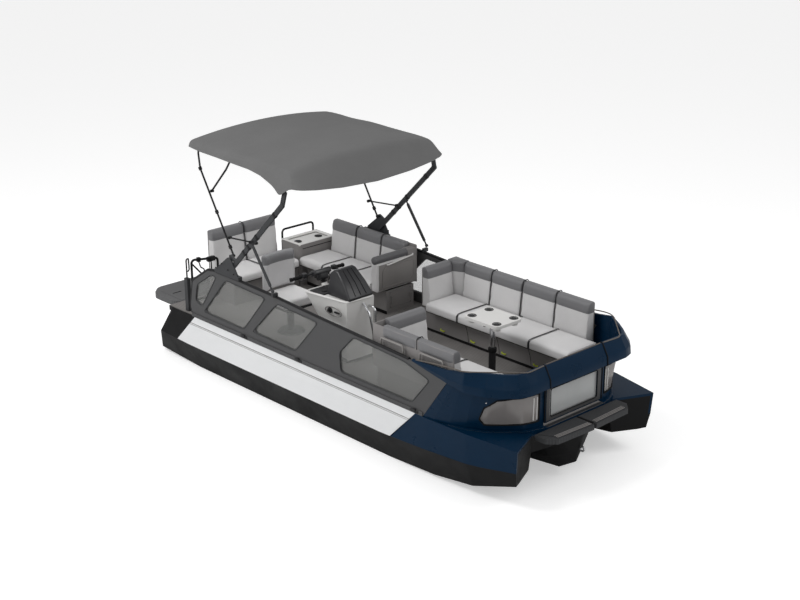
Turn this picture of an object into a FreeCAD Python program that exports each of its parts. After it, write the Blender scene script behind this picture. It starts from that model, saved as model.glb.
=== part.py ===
import FreeCAD, Part
import math
import os

# A tri-hull pontoon boat with a folding sun top, standing on its three flat keels.
# Millimetres. X runs to the bow, Y to port, Z up. The origin is on the floor, under the middle of the boat.

# Whole boat
half_length = 3180.0
half_beam = 1220.0
deck_top = 675.0
deck_thickness = 60.0
overrun = 20.0
fit_gap = 0.3
moving_gap = 8.0

# Hull
hull_skin = 30.0
transom_inset = 325.0
transom_foot = half_length - transom_inset
transom_rake_share = 0.60
tunnel_wall = 600.0
tunnel_share = tunnel_wall / half_beam
tunnel_roof = 430.0
chine_height = 335.0
pan_front_shares = ((0.8994, tunnel_share), (0.912, 0.300))
sponson_nose_skew_share = 0.47
sponson_nose_lean_share = 0.06
sponson_nose_inset = 338.0
panel_foot_shares = (-0.7195, 0.4626)
panel_head_shares = (-0.6261, 0.5616)
panel_groove_rise = 250.0
panel_groove_width = 9.0
panel_groove_depth = 6.0

# Sponson sections from stern to bow. Each row is a share of the half length, then seven corners in order:
# keel outer, keel inner, bilge, tunnel side, top inner, top outer, chine, as shares of half beam and deck
# top. The first row stands on the raked transom.
sponson_section_shares = (
    (-0.898, ((0.869, 0.064), (0.762, 0.064), (0.541, 0.290), (tunnel_share, 0.637),
              (tunnel_share, 1.000), (0.934, 1.000), (0.975, 0.496))),
    (-0.640, ((0.869, 0.000), (0.762, 0.000), (0.541, 0.237), (tunnel_share, 0.637),
              (tunnel_share, 1.000), (0.934, 1.000), (0.992, 0.496))),
    (0.410, ((0.869, 0.000), (0.762, 0.000), (0.541, 0.237), (tunnel_share, 0.637),
             (tunnel_share, 1.000), (0.934, 1.000), (0.992, 0.496))),
    (0.620, ((0.865, 0.040), (0.758, 0.040), (0.541, 0.252), (tunnel_share, 0.637),
             (tunnel_share, 1.000), (0.941, 1.000), (0.975, 0.521))),
    (0.787, ((0.852, 0.133), (0.746, 0.133), (0.537, 0.296), (tunnel_share, 0.637),
             (tunnel_share, 1.000), (0.926, 1.000), (0.943, 0.548))),
)
sponson_nose_shares = ((0.815, 0.385), (0.745, 0.375), (0.520, 0.385), (tunnel_share, 0.637),
                       (tunnel_share, 0.965), (0.848, 0.970), (0.840, 0.620))
cap_seam_shares = ((0.686, 0.535), (0.842, 0.559), (0.925, 0.604), (1.020, 0.640))

# Centre hull sections, as shares of half length, then half widths and heights at keel, chine, tunnel root
# and top.
center_section_shares = (
    (-0.898, ((0.041, 0.000), (0.246, 0.280), (0.295, 0.637), (0.300, 0.911))),
    (0.470, ((0.041, 0.000), (0.246, 0.280), (0.295, 0.637), (0.300, 0.911))),
    (0.740, ((0.037, 0.018), (0.225, 0.290), (0.287, 0.637), (0.300, 0.911))),
    (0.864, ((0.025, 0.067), (0.165, 0.330), (0.250, 0.637), (0.300, 0.900))),
    (0.924, ((0.010, 0.237), (0.082, 0.430), (0.165, 0.660), (0.270, 0.889))),
    (0.954, ((0.006, 0.760), (0.033, 0.775), (0.060, 0.800), (0.160, 0.889))),
    (0.981, ((0.002, 0.870), (0.008, 0.874), (0.020, 0.880), (0.060, 0.889))),
)

# Deck, front step and swim platform
platform_length = 640.0
deck_rear = half_length - platform_length
deck_edge_shares = ((0.560, 0.9197), (0.698, 0.905), (0.752, 0.867), (0.812, 0.787), (0.898, 0.541),
                    (0.921, 0.350))
step_half_width = 620.0
step_thickness = 55.0
step_pad_height = 6.0
step_pad_gap = 35.0
step_pad_margin = 26.0
step_nose_width = 90.0
step_sweep_share = 0.24
platform_half_width_inset = 220.0
platform_half_width = half_beam - platform_half_width_inset
platform_top_drop = 5.0
platform_top = deck_top - platform_top_drop
platform_thickness = 62.0
platform_corner = 150.0
platform_pad_height = 5.0
platform_pad_margin = 90.0
platform_slot_length = 130.0
platform_slot_width = 24.0
platform_slot_reach_inset = 210.0
platform_slot_reach = platform_half_width - platform_slot_reach_inset
platform_bracket_width = 60.0
platform_bracket_reach_inset = 100.0
platform_bracket_reach = platform_half_width - platform_bracket_reach_inset

# Engine and jet drive, measured aft and forward of the transom's foot
engine_length = 900.0
engine_width = 480.0
engine_height = 330.0
engine_front_inset = 455.0
engine_front = transom_foot - engine_length - engine_front_inset
engine_foot = 160.0
engine_chamfer = 105.0
shaft_height = 265.0
pump_radius = 118.0
pump_wall = 14.0
pump_length = 320.0
pump_rear_lead = 65.0
pump_rear = transom_foot + pump_rear_lead
pump_front = pump_rear - pump_length
pump_rim = 12.0
pump_rim_length = 18.0
spout_radius = 48.0
spout_wall = 8.0
spout_length = 70.0
spout_rear = pump_rear + spout_length
shaft_radius = 13.0
impeller_hub = 34.0
impeller_front_inset = 130.0
impeller_front = pump_rear - impeller_front_inset
impeller_length = 84.0
blade_count = 4
blade_thickness = 9.0
blade_tip_gap = 5.0
blade_steps = 4
blade_turn = 62.0
blade_root_share = 0.8
nozzle_length = 130.0
nozzle_front_inset = 15.0
nozzle_front = spout_rear - nozzle_front_inset
nozzle_rear = nozzle_front + nozzle_length
nozzle_front_radius = 94.0
nozzle_rear_radius = 60.0
nozzle_wall = 10.0
nozzle_pin_radius = 10.0
nozzle_lug_wall = 12.0
nozzle_lug_width = 44.0
bucket_pivot_lead = 45.0
bucket_pivot = nozzle_front + bucket_pivot_lead
bucket_radius = 150.0
bucket_wall = 8.0
bucket_half = 108.0
bucket_first_turn = 72.0
bucket_last_turn = 128.0
intake_length = 340.0
intake_rear_inset = 60.0
intake_rear = transom_foot - intake_rear_inset
intake_half_width = 42.0
intake_depth = 110.0
intake_bar_radius = 4.0
intake_cross_radius = 6.0
intake_bar_count = 3

# Side fences. The outline and windows are shares of fence length and of fence height above the deck.
fence_rear_share = 0.65880503
fence_rear = fence_rear_share * half_length
fence_fore_share = 0.59905660
fence_fore = fence_fore_share * half_length
fence_length = fence_rear + fence_fore
fence_height = 690.0
fence_thickness = 30.0
fence_line_share = 0.93115
fence_outer = fence_line_share * half_beam
fence_front_shares = ((0.957, 0.8005), (1.0800, 0.678), (0.996, 0.000))
window_shares = (
    ((0.0325, 0.314), (0.045, 0.620), (0.118, 0.900), (0.140, 0.880), (0.065, 0.255)),
    ((0.072, 0.170), (0.185, 0.895), (0.368, 0.860), (0.262, 0.155)),
    ((0.302, 0.184), (0.418, 0.842), (0.592, 0.800), (0.492, 0.164)),
    ((0.682, 0.142), (0.678, 0.465), (0.735, 0.795), (0.928, 0.745), (1.020, 0.600), (0.955, 0.145)),
)
window_corner = 38.0
pane_thickness = 6.0
pane_lip = 8.0
sill_height = 46.0
sill_thickness = 9.0

# Top rails
rail_radius = 18.0
rail_bend = 70.0
rail_shares = ((0.0135, 0.014), (0.00375, 0.174), (0.0208, 0.653), (0.0988, 0.949), (0.126, 0.977),
               (0.220, 0.977), (0.385, 0.949), (0.624, 0.880), (0.9435, 0.800))

# Bow gate
gate_half_width = 420.0
gate_gap = 12.5
gate_edge_share = (gate_half_width + gate_gap) / half_beam
gate_foot_rise = 25.0
gate_foot = deck_top + gate_foot_rise
gate_frame = 62.0
gate_thickness = 26.0
gate_window_corner = 40.0
gate_window_foot_share = 0.6
gate_window_head_share = 0.5
gate_crown = 12.0
gate_hinge_radius = 9.0
gate_hinge_span = 220.0
gate_hinge_low_rise = 90.0
gate_hinge_low = gate_foot + gate_hinge_low_rise
gate_hinge_high = gate_hinge_low + gate_hinge_span
gate_leaf = 30.0

# Bow wall: each row is a share of half length and half beam. Foot on the deck, lip of the band, and rim.
wall_thickness = 18.0
band_lip_rise = 423.0
band_lip = deck_top + band_lip_rise
bulge_out = 24.0
rim_height_rise = 640.0
rim_height = deck_top + rim_height_rise
band_wall = 26.0
wall_foot_shares = ((0.5945, 0.931), (0.640, 0.922), (0.697, 0.894), (0.750, 0.848), (0.808, 0.763),
                    (0.850, 0.652),
                    (0.884, 0.545), (0.897, 0.455), (0.903, gate_edge_share))
wall_head_shares = ((0.7005, 0.927), (0.722, 0.920), (0.750, 0.902), (0.790, 0.866), (0.832, 0.800),
                    (0.868, 0.700),
                    (0.893, 0.590), (0.900, 0.470), (0.902, gate_edge_share))
lip_shares = ((0.545, 0.936), (0.700, 0.940), (0.770, 0.922), (0.838, 0.868), (0.885, 0.780), (0.917, 0.690),
              (0.929, 0.590), (0.929, 0.470), (0.928, gate_edge_share))
band_flare = 80.0
rim_inset_shares = (0.05, 0.08, 0.25, 1.00, 1.00, 1.00, 1.00, 1.00, 1.00)
low_inset_shares = (0.33, 0.40, 0.80, 1.28, 1.28, 1.28, 1.28, 1.28, 1.28)
wall_height_shares = (1.040, 1.028, 1.014, 1.008, 1.008, 1.008, 1.008, 1.008, 1.008)
lip_height_shares = (0.934, 0.870, 0.836, 0.836, 0.836, 0.836, 0.836, 0.836, 0.836)
rim_height_shares = (0.9475, 0.968, 1.000, 1.000, 1.000, 1.000, 1.000, 1.000, 1.000)
bulge_height_share = 0.40
bulge_reach_shares = (0.1, 0.5, 0.9, 1.0, 1.0, 1.0, 1.0, 1.0, 1.0)
corner_window_low_rise = 70.0
corner_window_low = deck_top + corner_window_low_rise
corner_window_high_drop = 58.0
corner_window_high = band_lip - corner_window_high_drop
corner_window_margin = 60.0
corner_window_shares = ((0.650, 0.950), (0.745, 0.935), (0.800, 0.860), (0.805, 0.730), (0.780, 0.678))
gate_pivot_x_inset = 33.54
gate_pivot_x = wall_foot_shares[-1][0] * half_length - gate_pivot_x_inset
gate_pivot_y_lead = 1.5
gate_pivot_y = gate_half_width + gate_gap + gate_pivot_y_lead
bow_eye_radius = 17.0
bow_eye_wall = 13.0
bow_eye_width = 18.0
bow_eye_shank = 90.0
bow_eye_height = 330.0
bow_eye_share = 0.95032

# Stern gate
stern_gate_rear_inset = 960.0
stern_gate_rear = half_length - stern_gate_rear_inset
stern_gate_tube = 14.0
stern_gate_low_rise = 95.0
stern_gate_low = deck_top + stern_gate_low_rise
stern_gate_high_rise = 520.0
stern_gate_high = stern_gate_low + stern_gate_high_rise
stern_gate_outer_inset = 146.0
stern_gate_outer = fence_outer - stern_gate_outer_inset
stern_gate_inner_inset = 380.0
stern_gate_inner = stern_gate_outer - stern_gate_inner_inset
stern_post_outer_inset = 51.0
stern_post_outer = fence_outer - stern_post_outer_inset
stern_post_width = 46.0
stern_post_depth = 60.0
stern_post_height_rise = 410.0
stern_post_height = deck_top + stern_post_height_rise
brace_share = 0.8
slant_share = 0.7

# Benches. Their ends follow the cockpit as shares of the half length.
seat_top_rise = 407.0
seat_top = deck_top + seat_top_rise
seat_thickness = 127.0
base_top = seat_top - seat_thickness
bench_back_inset = 72.0
bench_back = fence_outer - bench_back_inset
bench_base_back_inset = 74.0
bench_base_back = bench_back - bench_base_back_inset
back_top_rise = 368.0
back_top = seat_top + back_top_rise
back_foot_depth = 150.0
back_top_depth = 100.0
back_round = 18.0
seat_front_inset = 662.0
seat_front = bench_back - seat_front_inset
base_front_lead = 150.0
base_front = seat_front + base_front_lead
base_wall = 22.0
base_floor = 30.0
base_inset = 40.0
base_corner = 40.0
seat_lean_gap = 9.0
seat_lift_gap = 24.0
front_bench_rear_share = 0.04403
front_bench_rear = front_bench_rear_share * half_length
front_bench_fore_share = 0.76415
front_bench_fore = front_bench_fore_share * half_length
front_back_fore_inset = 181.0
front_back_fore = front_bench_fore - front_back_fore_inset
front_return_end_lead = 98.0
front_return_end = seat_front + front_return_end_lead
starboard_bench_rear_share = 0.33019
starboard_bench_rear = starboard_bench_rear_share * half_length
starboard_return_end_inset = 30.0
starboard_return_end = seat_front - starboard_return_end_inset
mid_bench_rear_share = 0.61321
mid_bench_rear = mid_bench_rear_share * half_length
mid_bench_fore_share = 0.15723
mid_bench_fore = mid_bench_fore_share * half_length
mid_arm_depth = 118.0
mid_arm_top_drop = 50.0
mid_arm_top = back_top - mid_arm_top_drop
handle_shares = (0.28, 0.76)
handle_radius = 11.0
handle_length = 330.0
handle_drop = 130.0
handle_stand = 30.0
door_width = 330.0
door_height = 200.0
door_thickness = 16.0
door_margin = 3.0
door_foot_rise = 60.0
door_foot = deck_top + door_foot_rise
door_port_inset = 50.0
door_port = bench_base_back - door_port_inset
door_grip_length = 90.0
door_grip_depth = 14.0
door_barrel = 7.0
door_hinge_share = 0.15

# Corner console
console_fore_lead = 22.0
console_fore = mid_bench_rear + console_fore_lead
console_rear_lead = 378.0
console_rear = console_fore + console_rear_lead
console_outer_inset = 96.0
console_outer = fence_outer - console_outer_inset
console_inner_inset = 588.0
console_inner = console_outer - console_inner_inset
console_top_rise = 525.0
console_top = deck_top + console_top_rise
console_corner = 55.0
tray_margin = 48.0
tray_depth = 22.0
cup_radius = 42.0
cup_depth = 70.0
cup_wall = 8.0
cup_place_shares = (0.22, 0.78)
grab_height_rise = 110.0
grab_height = console_top + grab_height_rise
grab_radius = 13.0
grab_bend = 45.0

# Stern bench
stern_bench_rear_lead = 150.0
stern_bench_rear = console_rear + stern_bench_rear_lead
stern_bench_fore_inset = 630.0
stern_bench_fore = stern_bench_rear - stern_bench_fore_inset
stern_base_fore_lead = 105.0
stern_base_fore = stern_bench_fore + stern_base_fore_lead
stern_bench_port_inset = 27.0
stern_bench_port = console_inner - stern_bench_port_inset
stern_bench_gate_gap = 50.003
stern_bench_starboard = stern_gate_inner - stern_bench_gate_gap
stern_back_top_rise = 70.0
stern_back_top = back_top + stern_back_top_rise

# Helm
helm_foot_shares = ((-0.15, 0.98), (0.84, 0.98), (0.93, 0.57), (-0.15, 0.54))
helm_waist_shares = ((-0.30, 1.00), (0.92, 1.00), (0.97, 0.56), (-0.30, 0.52))
helm_rim_shares = ((-0.55, 1.125), (0.95, 1.025), (1.01, 0.56), (-0.50, 0.42))
helm_reach = 400.0
helm_side_inset = 336.0
helm_side = fence_outer - helm_side_inset
helm_waist_rise = 445.0
helm_waist = deck_top + helm_waist_rise
helm_rim_rise = 280.0
helm_rim = helm_waist + helm_rim_rise
shield_shares = (((0.05, 0.99), (0.90, 0.98), (0.98, 0.58), (0.05, 0.57)),
                 ((0.04, 0.99), (0.93, 0.97), (0.99, 0.58), (0.04, 0.57)),
                 ((0.05, 0.94), (0.26, 0.93), (0.32, 0.62), (0.05, 0.61)))
shield_rise = 40.0
shield_height = 295.0
helm_grab_radius = 12.0
helm_grab_share = 0.64
helm_grab_height_drop = 100.0
helm_grab_height = helm_rim - helm_grab_height_drop
helm_grab_reach = 95.0
steer_x = 250.0
steer_height_rise = 18.0
steer_height = helm_rim + steer_height_rise
steer_side_inset = 200.0
steer_side = helm_side - steer_side_inset
steer_rake = 25.0
steer_column = 20.0
steer_column_length = 95.0
steer_head = 34.0
steer_head_length = 280.0
bar_radius = 11.0
bar_half = 370.0
bar_rise = 35.0
bar_sweep = 70.0
bar_knee_share = 0.35
grip_radius = 17.0
grip_length = 125.0
bar_pad_length = 190.0
bar_pad_width = 90.0
bar_pad_height = 44.0
bar_pad_shares = ((-0.5, 0.8), (0.5, 1.0), (1.0, 0.6))

# Captain's chair. The back's rows are shares of its height, width and thickness.
chair_x = 860.0
chair_side = steer_side
chair_base_radius = 160.0
chair_base_height = 22.0
chair_base_share = 0.9
chair_post_radius = 42.0
chair_seat_foot_rise = 345.0
chair_seat_foot = deck_top + chair_seat_foot_rise
chair_seat_top_rise = 130.0
chair_seat_top = chair_seat_foot + chair_seat_top_rise
chair_half_width = 250.0
chair_front = 250.0
chair_back_depth = 290.0
chair_back_top_rise = 450.0
chair_back_top = chair_seat_top + chair_back_top_rise
chair_back_thickness = 110.0
chair_back_lean = 40.0
chair_seat_corner = 60.0
chair_plate = 16.0
chair_plate_radius = 101.0
chair_wing_share = 0.8
chair_back_shares = ((0.0, 0.88, 0.95), (0.25, 1.0, 1.0), (0.80, 1.0, 1.0), (0.95, 0.88, 0.85),
                     (1.0, 0.75, 0.6))

# Table
table_x_inset = 725.0
table_x = front_bench_fore - table_x_inset
table_y = 50.0
table_length = 500.0
table_width = 400.0
table_top_height_rise = 703.0
table_top_height = deck_top + table_top_height_rise
table_thickness = 32.0
table_corner = 60.0
table_cup_inset = 72.0
table_post_radius = 27.0
table_sleeve_radius = 38.0
table_sleeve_height = 330.0
table_base_radius = 150.0
table_base_height = 20.0
table_base_share = 0.85

# Folding sun top. Lanes are the side positions of bars that fold past each other.
main_lane_inset = 11.0
main_lane = fence_outer - main_lane_inset
rear_lane_inset = 37.0
rear_lane = main_lane - rear_lane_inset
mid_lane_inset = 38.0
mid_lane = rear_lane - mid_lane_inset
strut_lane_lead = 38.0
strut_lane = main_lane + strut_lane_lead
main_pivot_x_inset = 850.0
main_pivot_x = fence_rear - main_pivot_x_inset
main_pivot_z_lead = 87.0
main_pivot_z = deck_top + fence_height + main_pivot_z_lead
rear_pivot_x_inset = 5.0
rear_pivot_x = main_pivot_x - rear_pivot_x_inset
rear_pivot_z_rise = 153.0
rear_pivot_z = main_pivot_z + rear_pivot_z_rise
arm_knee_x_inset = 960.0
arm_knee_x = main_pivot_x - arm_knee_x_inset
arm_knee_z_rise = 948.0
arm_knee_z = main_pivot_z + arm_knee_z_rise
arm_depth = 56.0
arm_width = 26.0
bow_radius = 13.0
thin_radius = 11.0
strut_radius = 9.9
link_radius = 8.8
knuckle_width = 23.1
knuckle_radius = 17.6
bow_bend = 110.0
main_top_x_inset = 983.0
main_top_x = main_pivot_x - main_top_x_inset
main_top_z_rise = 1278.0
main_top_z = main_pivot_z + main_top_z_rise
rear_top_x_lead = 694.0
rear_top_x = main_pivot_x + rear_top_x_lead
rear_top_z_rise = 5.0
rear_top_z = main_top_z + rear_top_z_rise
mid_pivot_share = 0.587
mid_top_x_inset = 9.0
mid_top_x = main_pivot_x - mid_top_x_inset
mid_top_z_rise = 44.5
mid_top_z = main_top_z + mid_top_z_rise
mid_knee_x_lead = 115.0
mid_knee_x = main_pivot_x + mid_knee_x_lead
mid_knee_z_drop = 200.0
mid_knee_z = mid_top_z - mid_knee_z_drop
top_crown = 55.0
top_lean_share = 0.93
top_flat_share = 0.45
rear_lean_share = 0.80
lug_share = 0.11
lug_depth = 40.0
strut_share = 0.4550
strut_foot_x_inset = 791.0
strut_foot_x = main_pivot_x - strut_foot_x_inset
strut_foot_z_drop = 52.0
strut_foot_z = main_pivot_z - strut_foot_z_drop
link_share = 0.158
link_tip_share = 0.40
pin_radius = 8.0
bracket_rear_lead = 285.0
bracket_rear = main_pivot_x + bracket_rear_lead
bracket_fore_inset = 165.0
bracket_fore = main_pivot_x - bracket_fore_inset
bracket_crest_rise = 138.0
bracket_crest = main_pivot_z + bracket_crest_rise
bracket_thickness = 16.0
bracket_saddle = 26.0
bracket_drop = 70.0
bow_drop = 30.0
strut_socket = 34.0
strut_socket_top = 26.4

# Canopy. The rows run from its after hem to the tip of its front visor.
canopy_edge_inset = 40.0
canopy_edge = main_lane - canopy_edge_inset
canopy_thickness = 9.0
canopy_valance = 90.0
canopy_columns = 10
canopy_crown_rise_gap = 140.0
canopy_crown = main_top_z + canopy_crown_rise_gap
canopy_crown_rise = 100.0
canopy_rear_lead = 151.0
canopy_rear = rear_top_x + canopy_rear_lead
canopy_length = 2070.0
canopy_visor = 300.0
canopy_station_shares = (0.0, 0.0725, 0.2367, 0.4126, 0.6522, 0.8889, 0.9565, 1.0)
canopy_drop_shares = (0.1733, 0.08, 0.0267, 0.0, 0.0067, 0.0467, 0.4333, 1.0)

corner_room_share = 0.49
bend_room_share = 0.45
full_turn = 360.0
bucket_cut_share = 1.5
handle_bend_share = 2.4
pin_run_share = 3.0
floor = 0.0
origin = FreeCAD.Vector(0, 0, 0)
along_x = FreeCAD.Vector(1, 0, 0)
along_y = FreeCAD.Vector(0, 1, 0)
along_z = FreeCAD.Vector(0, 0, 1)


def vec(x, y, z):
    return FreeCAD.Vector(x, y, z)


def polygon(points):
    return Part.makePolygon(list(points) + [points[0]])


def plan_slab(outline, low, high):
    """A slab whose outline is seen from above."""
    face = Part.Face(polygon([vec(x, y, low) for x, y in outline]))
    return face.extrude(along_z * (high - low))


def side_slab(outline, near, far):
    """A slab whose outline is seen from the side, between two distances from the centre line."""
    face = Part.Face(polygon([vec(x, near, z) for x, z in outline]))
    return face.extrude(along_y * (far - near))


def cross_slab(outline, rear, fore):
    """A slab whose outline is seen from ahead, between two stations."""
    face = Part.Face(polygon([vec(rear, y, z) for y, z in outline]))
    return face.extrude(along_x * (fore - rear))


def block(x_pair, y_pair, z_pair):
    corner = vec(min(x_pair), min(y_pair), min(z_pair))
    return Part.makeBox(abs(x_pair[1] - x_pair[0]), abs(y_pair[1] - y_pair[0]), abs(z_pair[1] - z_pair[0]),
                        corner)


def mirrored(shape):
    return shape.mirror(origin, along_y)


def round_bar(start, end, radius):
    return Part.makeCylinder(radius, (end - start).Length, start, end - start)


def bent_path(points, bend):
    """Straight runs joined by tangent arcs."""
    edges = []
    last = points[0]
    for before, corner, after in zip(points, points[1:], points[2:]):
        arrive = (corner - before).normalize()
        leave = (after - corner).normalize()
        turn = arrive.getAngle(leave)
        room = min((corner - before).Length, (after - corner).Length) * corner_room_share
        reach = min(bend * math.tan(turn / 2), room)
        radius = reach / math.tan(turn / 2)
        start = corner - arrive * reach
        end = corner + leave * reach
        inward = (leave - arrive).normalize()
        center = corner + inward * (radius / math.cos(turn / 2))
        halfway = center - inward * radius
        edges.append(Part.LineSegment(last, start).toShape())
        edges.append(Part.Arc(start, halfway, end).toShape())
        last = end
    edges.append(Part.LineSegment(last, points[-1]).toShape())
    return Part.Wire(edges)


def bent_bar(points, radius, bend):
    path = bent_path(points, bend)
    circle = Part.makeCircle(radius, points[0], points[1] - points[0])
    bar = path.makePipeShell([Part.Wire([circle])], True, False)
    if bar.Volume < 0:
        bar.reverse()
    return bar


def ring_loft(rings):
    return Part.makeLoft([polygon(ring) for ring in rings], True, True)


def scaled(shares, x_unit, y_unit):
    return [(x * x_unit, y * y_unit) for x, y in shares]


def rounded_outline(points, radius):
    """A closed plane outline of runs and tangent arcs, each arc limited by its runs."""
    edges = []
    tangents = []
    count = len(points)
    for index in range(count):
        before = points[index - 1]
        corner = points[index]
        after = points[(index + 1) % count]
        arrive = (corner - before).normalize()
        leave = (after - corner).normalize()
        turn = arrive.getAngle(leave)
        room = min((corner - before).Length, (after - corner).Length) * bend_room_share
        reach = min(radius * math.tan(turn / 2), room)
        fitted = reach / math.tan(turn / 2)
        inward = (leave - arrive).normalize()
        center = corner + inward * (fitted / math.cos(turn / 2))
        tangents.append((corner - arrive * reach, center - inward * fitted, corner + leave * reach))
    for index in range(count):
        start, halfway, end = tangents[index]
        edges.append(Part.Arc(start, halfway, end).toShape())
        edges.append(Part.LineSegment(end, tangents[(index + 1) % count][0]).toShape())
    return Part.Wire(edges)


def rounded_side_slab(outline, radius, near, far):
    wire = rounded_outline([vec(x, near, z) for x, z in outline], radius)
    return Part.Face(wire).extrude(along_y * (far - near))


def rounded_plan_slab(outline, radius, low, high):
    wire = rounded_outline([vec(x, y, low) for x, y in outline], radius)
    return Part.Face(wire).extrude(along_z * (high - low))


def rounded_cross_slab(outline, radius, rear, fore):
    wire = rounded_outline([vec(rear, y, z) for y, z in outline], radius)
    return Part.Face(wire).extrude(along_x * (fore - rear))


def inset(outline, margin):
    """A smaller copy of a plan outline, drawn in towards its middle by the margin."""
    mid_x = sum(x for x, y in outline) / len(outline)
    mid_y = sum(y for x, y in outline) / len(outline)
    result = []
    for x, y in outline:
        away = math.hypot(x - mid_x, y - mid_y)
        result.append((x - (x - mid_x) * margin / away, y - (y - mid_y) * margin / away))
    return result


# Hull


def transom_x(height):
    """The raked transom's place at one height."""
    return -transom_foot + transom_rake_share * height


def section_ring(station, corners, is_first):
    """One hull section from a row of shares. The first one lies on the raked transom."""
    ring = []
    for y_share, z_share in corners:
        z = z_share * deck_top
        x = transom_x(z) if is_first else station * half_length
        ring.append(vec(x, y_share * half_beam, z))
    return ring


def deck_outline():
    port = [(-deck_rear, deck_edge_shares[0][1] * half_beam)]
    port += scaled(deck_edge_shares, half_length, half_beam)
    return port + [(x, -y) for x, y in reversed(port)]


def deck_prism(low, high):
    return plan_slab(deck_outline(), low, high)


def sponson_blank():
    """The whole port float, from its raked stern to its skewed nose."""
    rings = [section_ring(*row, index == 0) for index, row in enumerate(sponson_section_shares)]
    nose_x = half_length - sponson_nose_inset
    nose = []
    for y_share, z_share in sponson_nose_shares:
        y = y_share * half_beam
        z = z_share * deck_top
        x = nose_x + sponson_nose_skew_share * (y - tunnel_wall) + sponson_nose_lean_share * z
        nose.append(vec(x, y, z))
    rings.append(nose)
    return ring_loft(rings)


def sponson_pieces():
    """The black float, the white side panel and the coloured bow cap, cut from one blank."""
    blank = sponson_blank()
    blank = blank.cut(deck_prism(deck_top - deck_thickness, deck_top + overrun))
    skinned = blank.copy()
    skinned.translate(vec(0, -hull_skin, 0))
    capped = blank.copy()
    capped.translate(vec(0, -hull_skin, -hull_skin))
    rear_foot, fore_foot = [share * half_length for share in panel_foot_shares]
    rear_head, fore_head = [share * half_length for share in panel_head_shares]
    panel_shape = [(rear_foot, chine_height), (rear_head, deck_top), (fore_head, deck_top),
                   (fore_foot, chine_height)]
    panel = blank.common(side_slab(panel_shape, tunnel_wall, half_beam)).cut(skinned)
    seam = [(fore_foot, chine_height)] + scaled(cap_seam_shares, half_length, deck_top)
    seam += [(seam[-1][0], deck_top + overrun), (fore_head, deck_top + overrun), (fore_head, deck_top)]
    region = side_slab(seam, tunnel_wall - overrun, half_beam + overrun)
    cap = blank.common(region).cut(capped)
    core = blank.cut(panel).cut(cap)
    shallow = blank.copy()
    shallow.translate(vec(0, -panel_groove_depth, 0))
    groove_foot = chine_height + panel_groove_rise
    groove = block((-half_length, half_length), (tunnel_wall, half_beam),
                   (groove_foot, groove_foot + panel_groove_width))
    panel = panel.cut(groove.cut(shallow))
    return largest(core), largest(panel), largest(cap)


def largest(shape):
    return max(shape.Solids, key=lambda solid: solid.Volume)


def engine_outline(grown):
    """The engine's section, drawn larger by a margin for the bay that it stands in."""
    half = engine_width / 2 + grown
    chamfer = engine_chamfer + grown
    foot = engine_foot
    return [(-half, foot + chamfer), (-half + chamfer, foot), (half - chamfer, foot), (half, foot + chamfer)]


def center_hull():
    """The centre float with the flat pan between the floats, the engine bay and the jet's intake."""
    rings = []
    for index, (station, levels) in enumerate(center_section_shares):
        side = section_ring(station, levels, index == 0)
        rings.append(side + [vec(p.x, -p.y, p.z) for p in reversed(side)])
    body = ring_loft(rings)
    port = [(transom_x(deck_top), tunnel_wall)] + scaled(pan_front_shares, half_length, half_beam)
    pan = plan_slab(port + [(x, -y) for x, y in reversed(port)], tunnel_roof, deck_top - deck_thickness)
    body = body.fuse(pan)
    step_clear = block((deck_edge_shares[-1][0] * half_length, half_length + overrun),
                       (-half_beam, half_beam),
                       (deck_top - overrun - step_thickness, deck_top + overrun))
    body = body.cut(step_clear)
    body = body.cut(deck_prism(deck_top - deck_thickness, deck_top + overrun))
    bay_shape = engine_outline(overrun)
    bay_shape += [(bay_shape[-1][0], deck_top), (bay_shape[0][0], deck_top)]
    bay = cross_slab(bay_shape, -engine_front - engine_length - overrun, -engine_front + overrun)
    return body.cut(bay).cut(intake_recess()).removeSplitter()


def intake_recess():
    """The mouth that the jet draws its water through, its roof rising towards the pump."""
    fore = -intake_rear + intake_length
    roof = [(-intake_rear, -overrun), (-intake_rear, intake_depth), (fore, floor), (fore, -overrun)]
    return side_slab(roof, -intake_half_width, intake_half_width)


def intake_grate():
    """Bars along the intake's mouth, held by a cross bar at each end."""
    height = intake_bar_radius * 2
    inset = intake_bar_radius * 4
    rear = -intake_rear + fit_gap
    fore = -intake_rear + intake_length - intake_length * (height + inset) / intake_depth
    reach = intake_half_width - fit_gap
    bars = []
    for x in (rear + intake_cross_radius, fore):
        bars.append(round_bar(vec(x, -reach, height), vec(x, reach, height), intake_cross_radius))
    for index in range(intake_bar_count):
        y = reach * 2 * (index + 1) / (intake_bar_count + 1) - reach
        bars.append(round_bar(vec(rear + intake_cross_radius, y, height), vec(fore, y, height),
                              intake_bar_radius))
    return bars[0].fuse(bars[1:])


def engine_block():
    shape = [(y, z + fit_gap) for y, z in engine_outline(0)]
    high = engine_foot + fit_gap + engine_height
    shape += [(shape[-1][0], high), (shape[0][0], high)]
    return cross_slab(shape, -engine_front - engine_length, -engine_front)


def deck():
    return deck_prism(deck_top - deck_thickness, deck_top)


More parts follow.
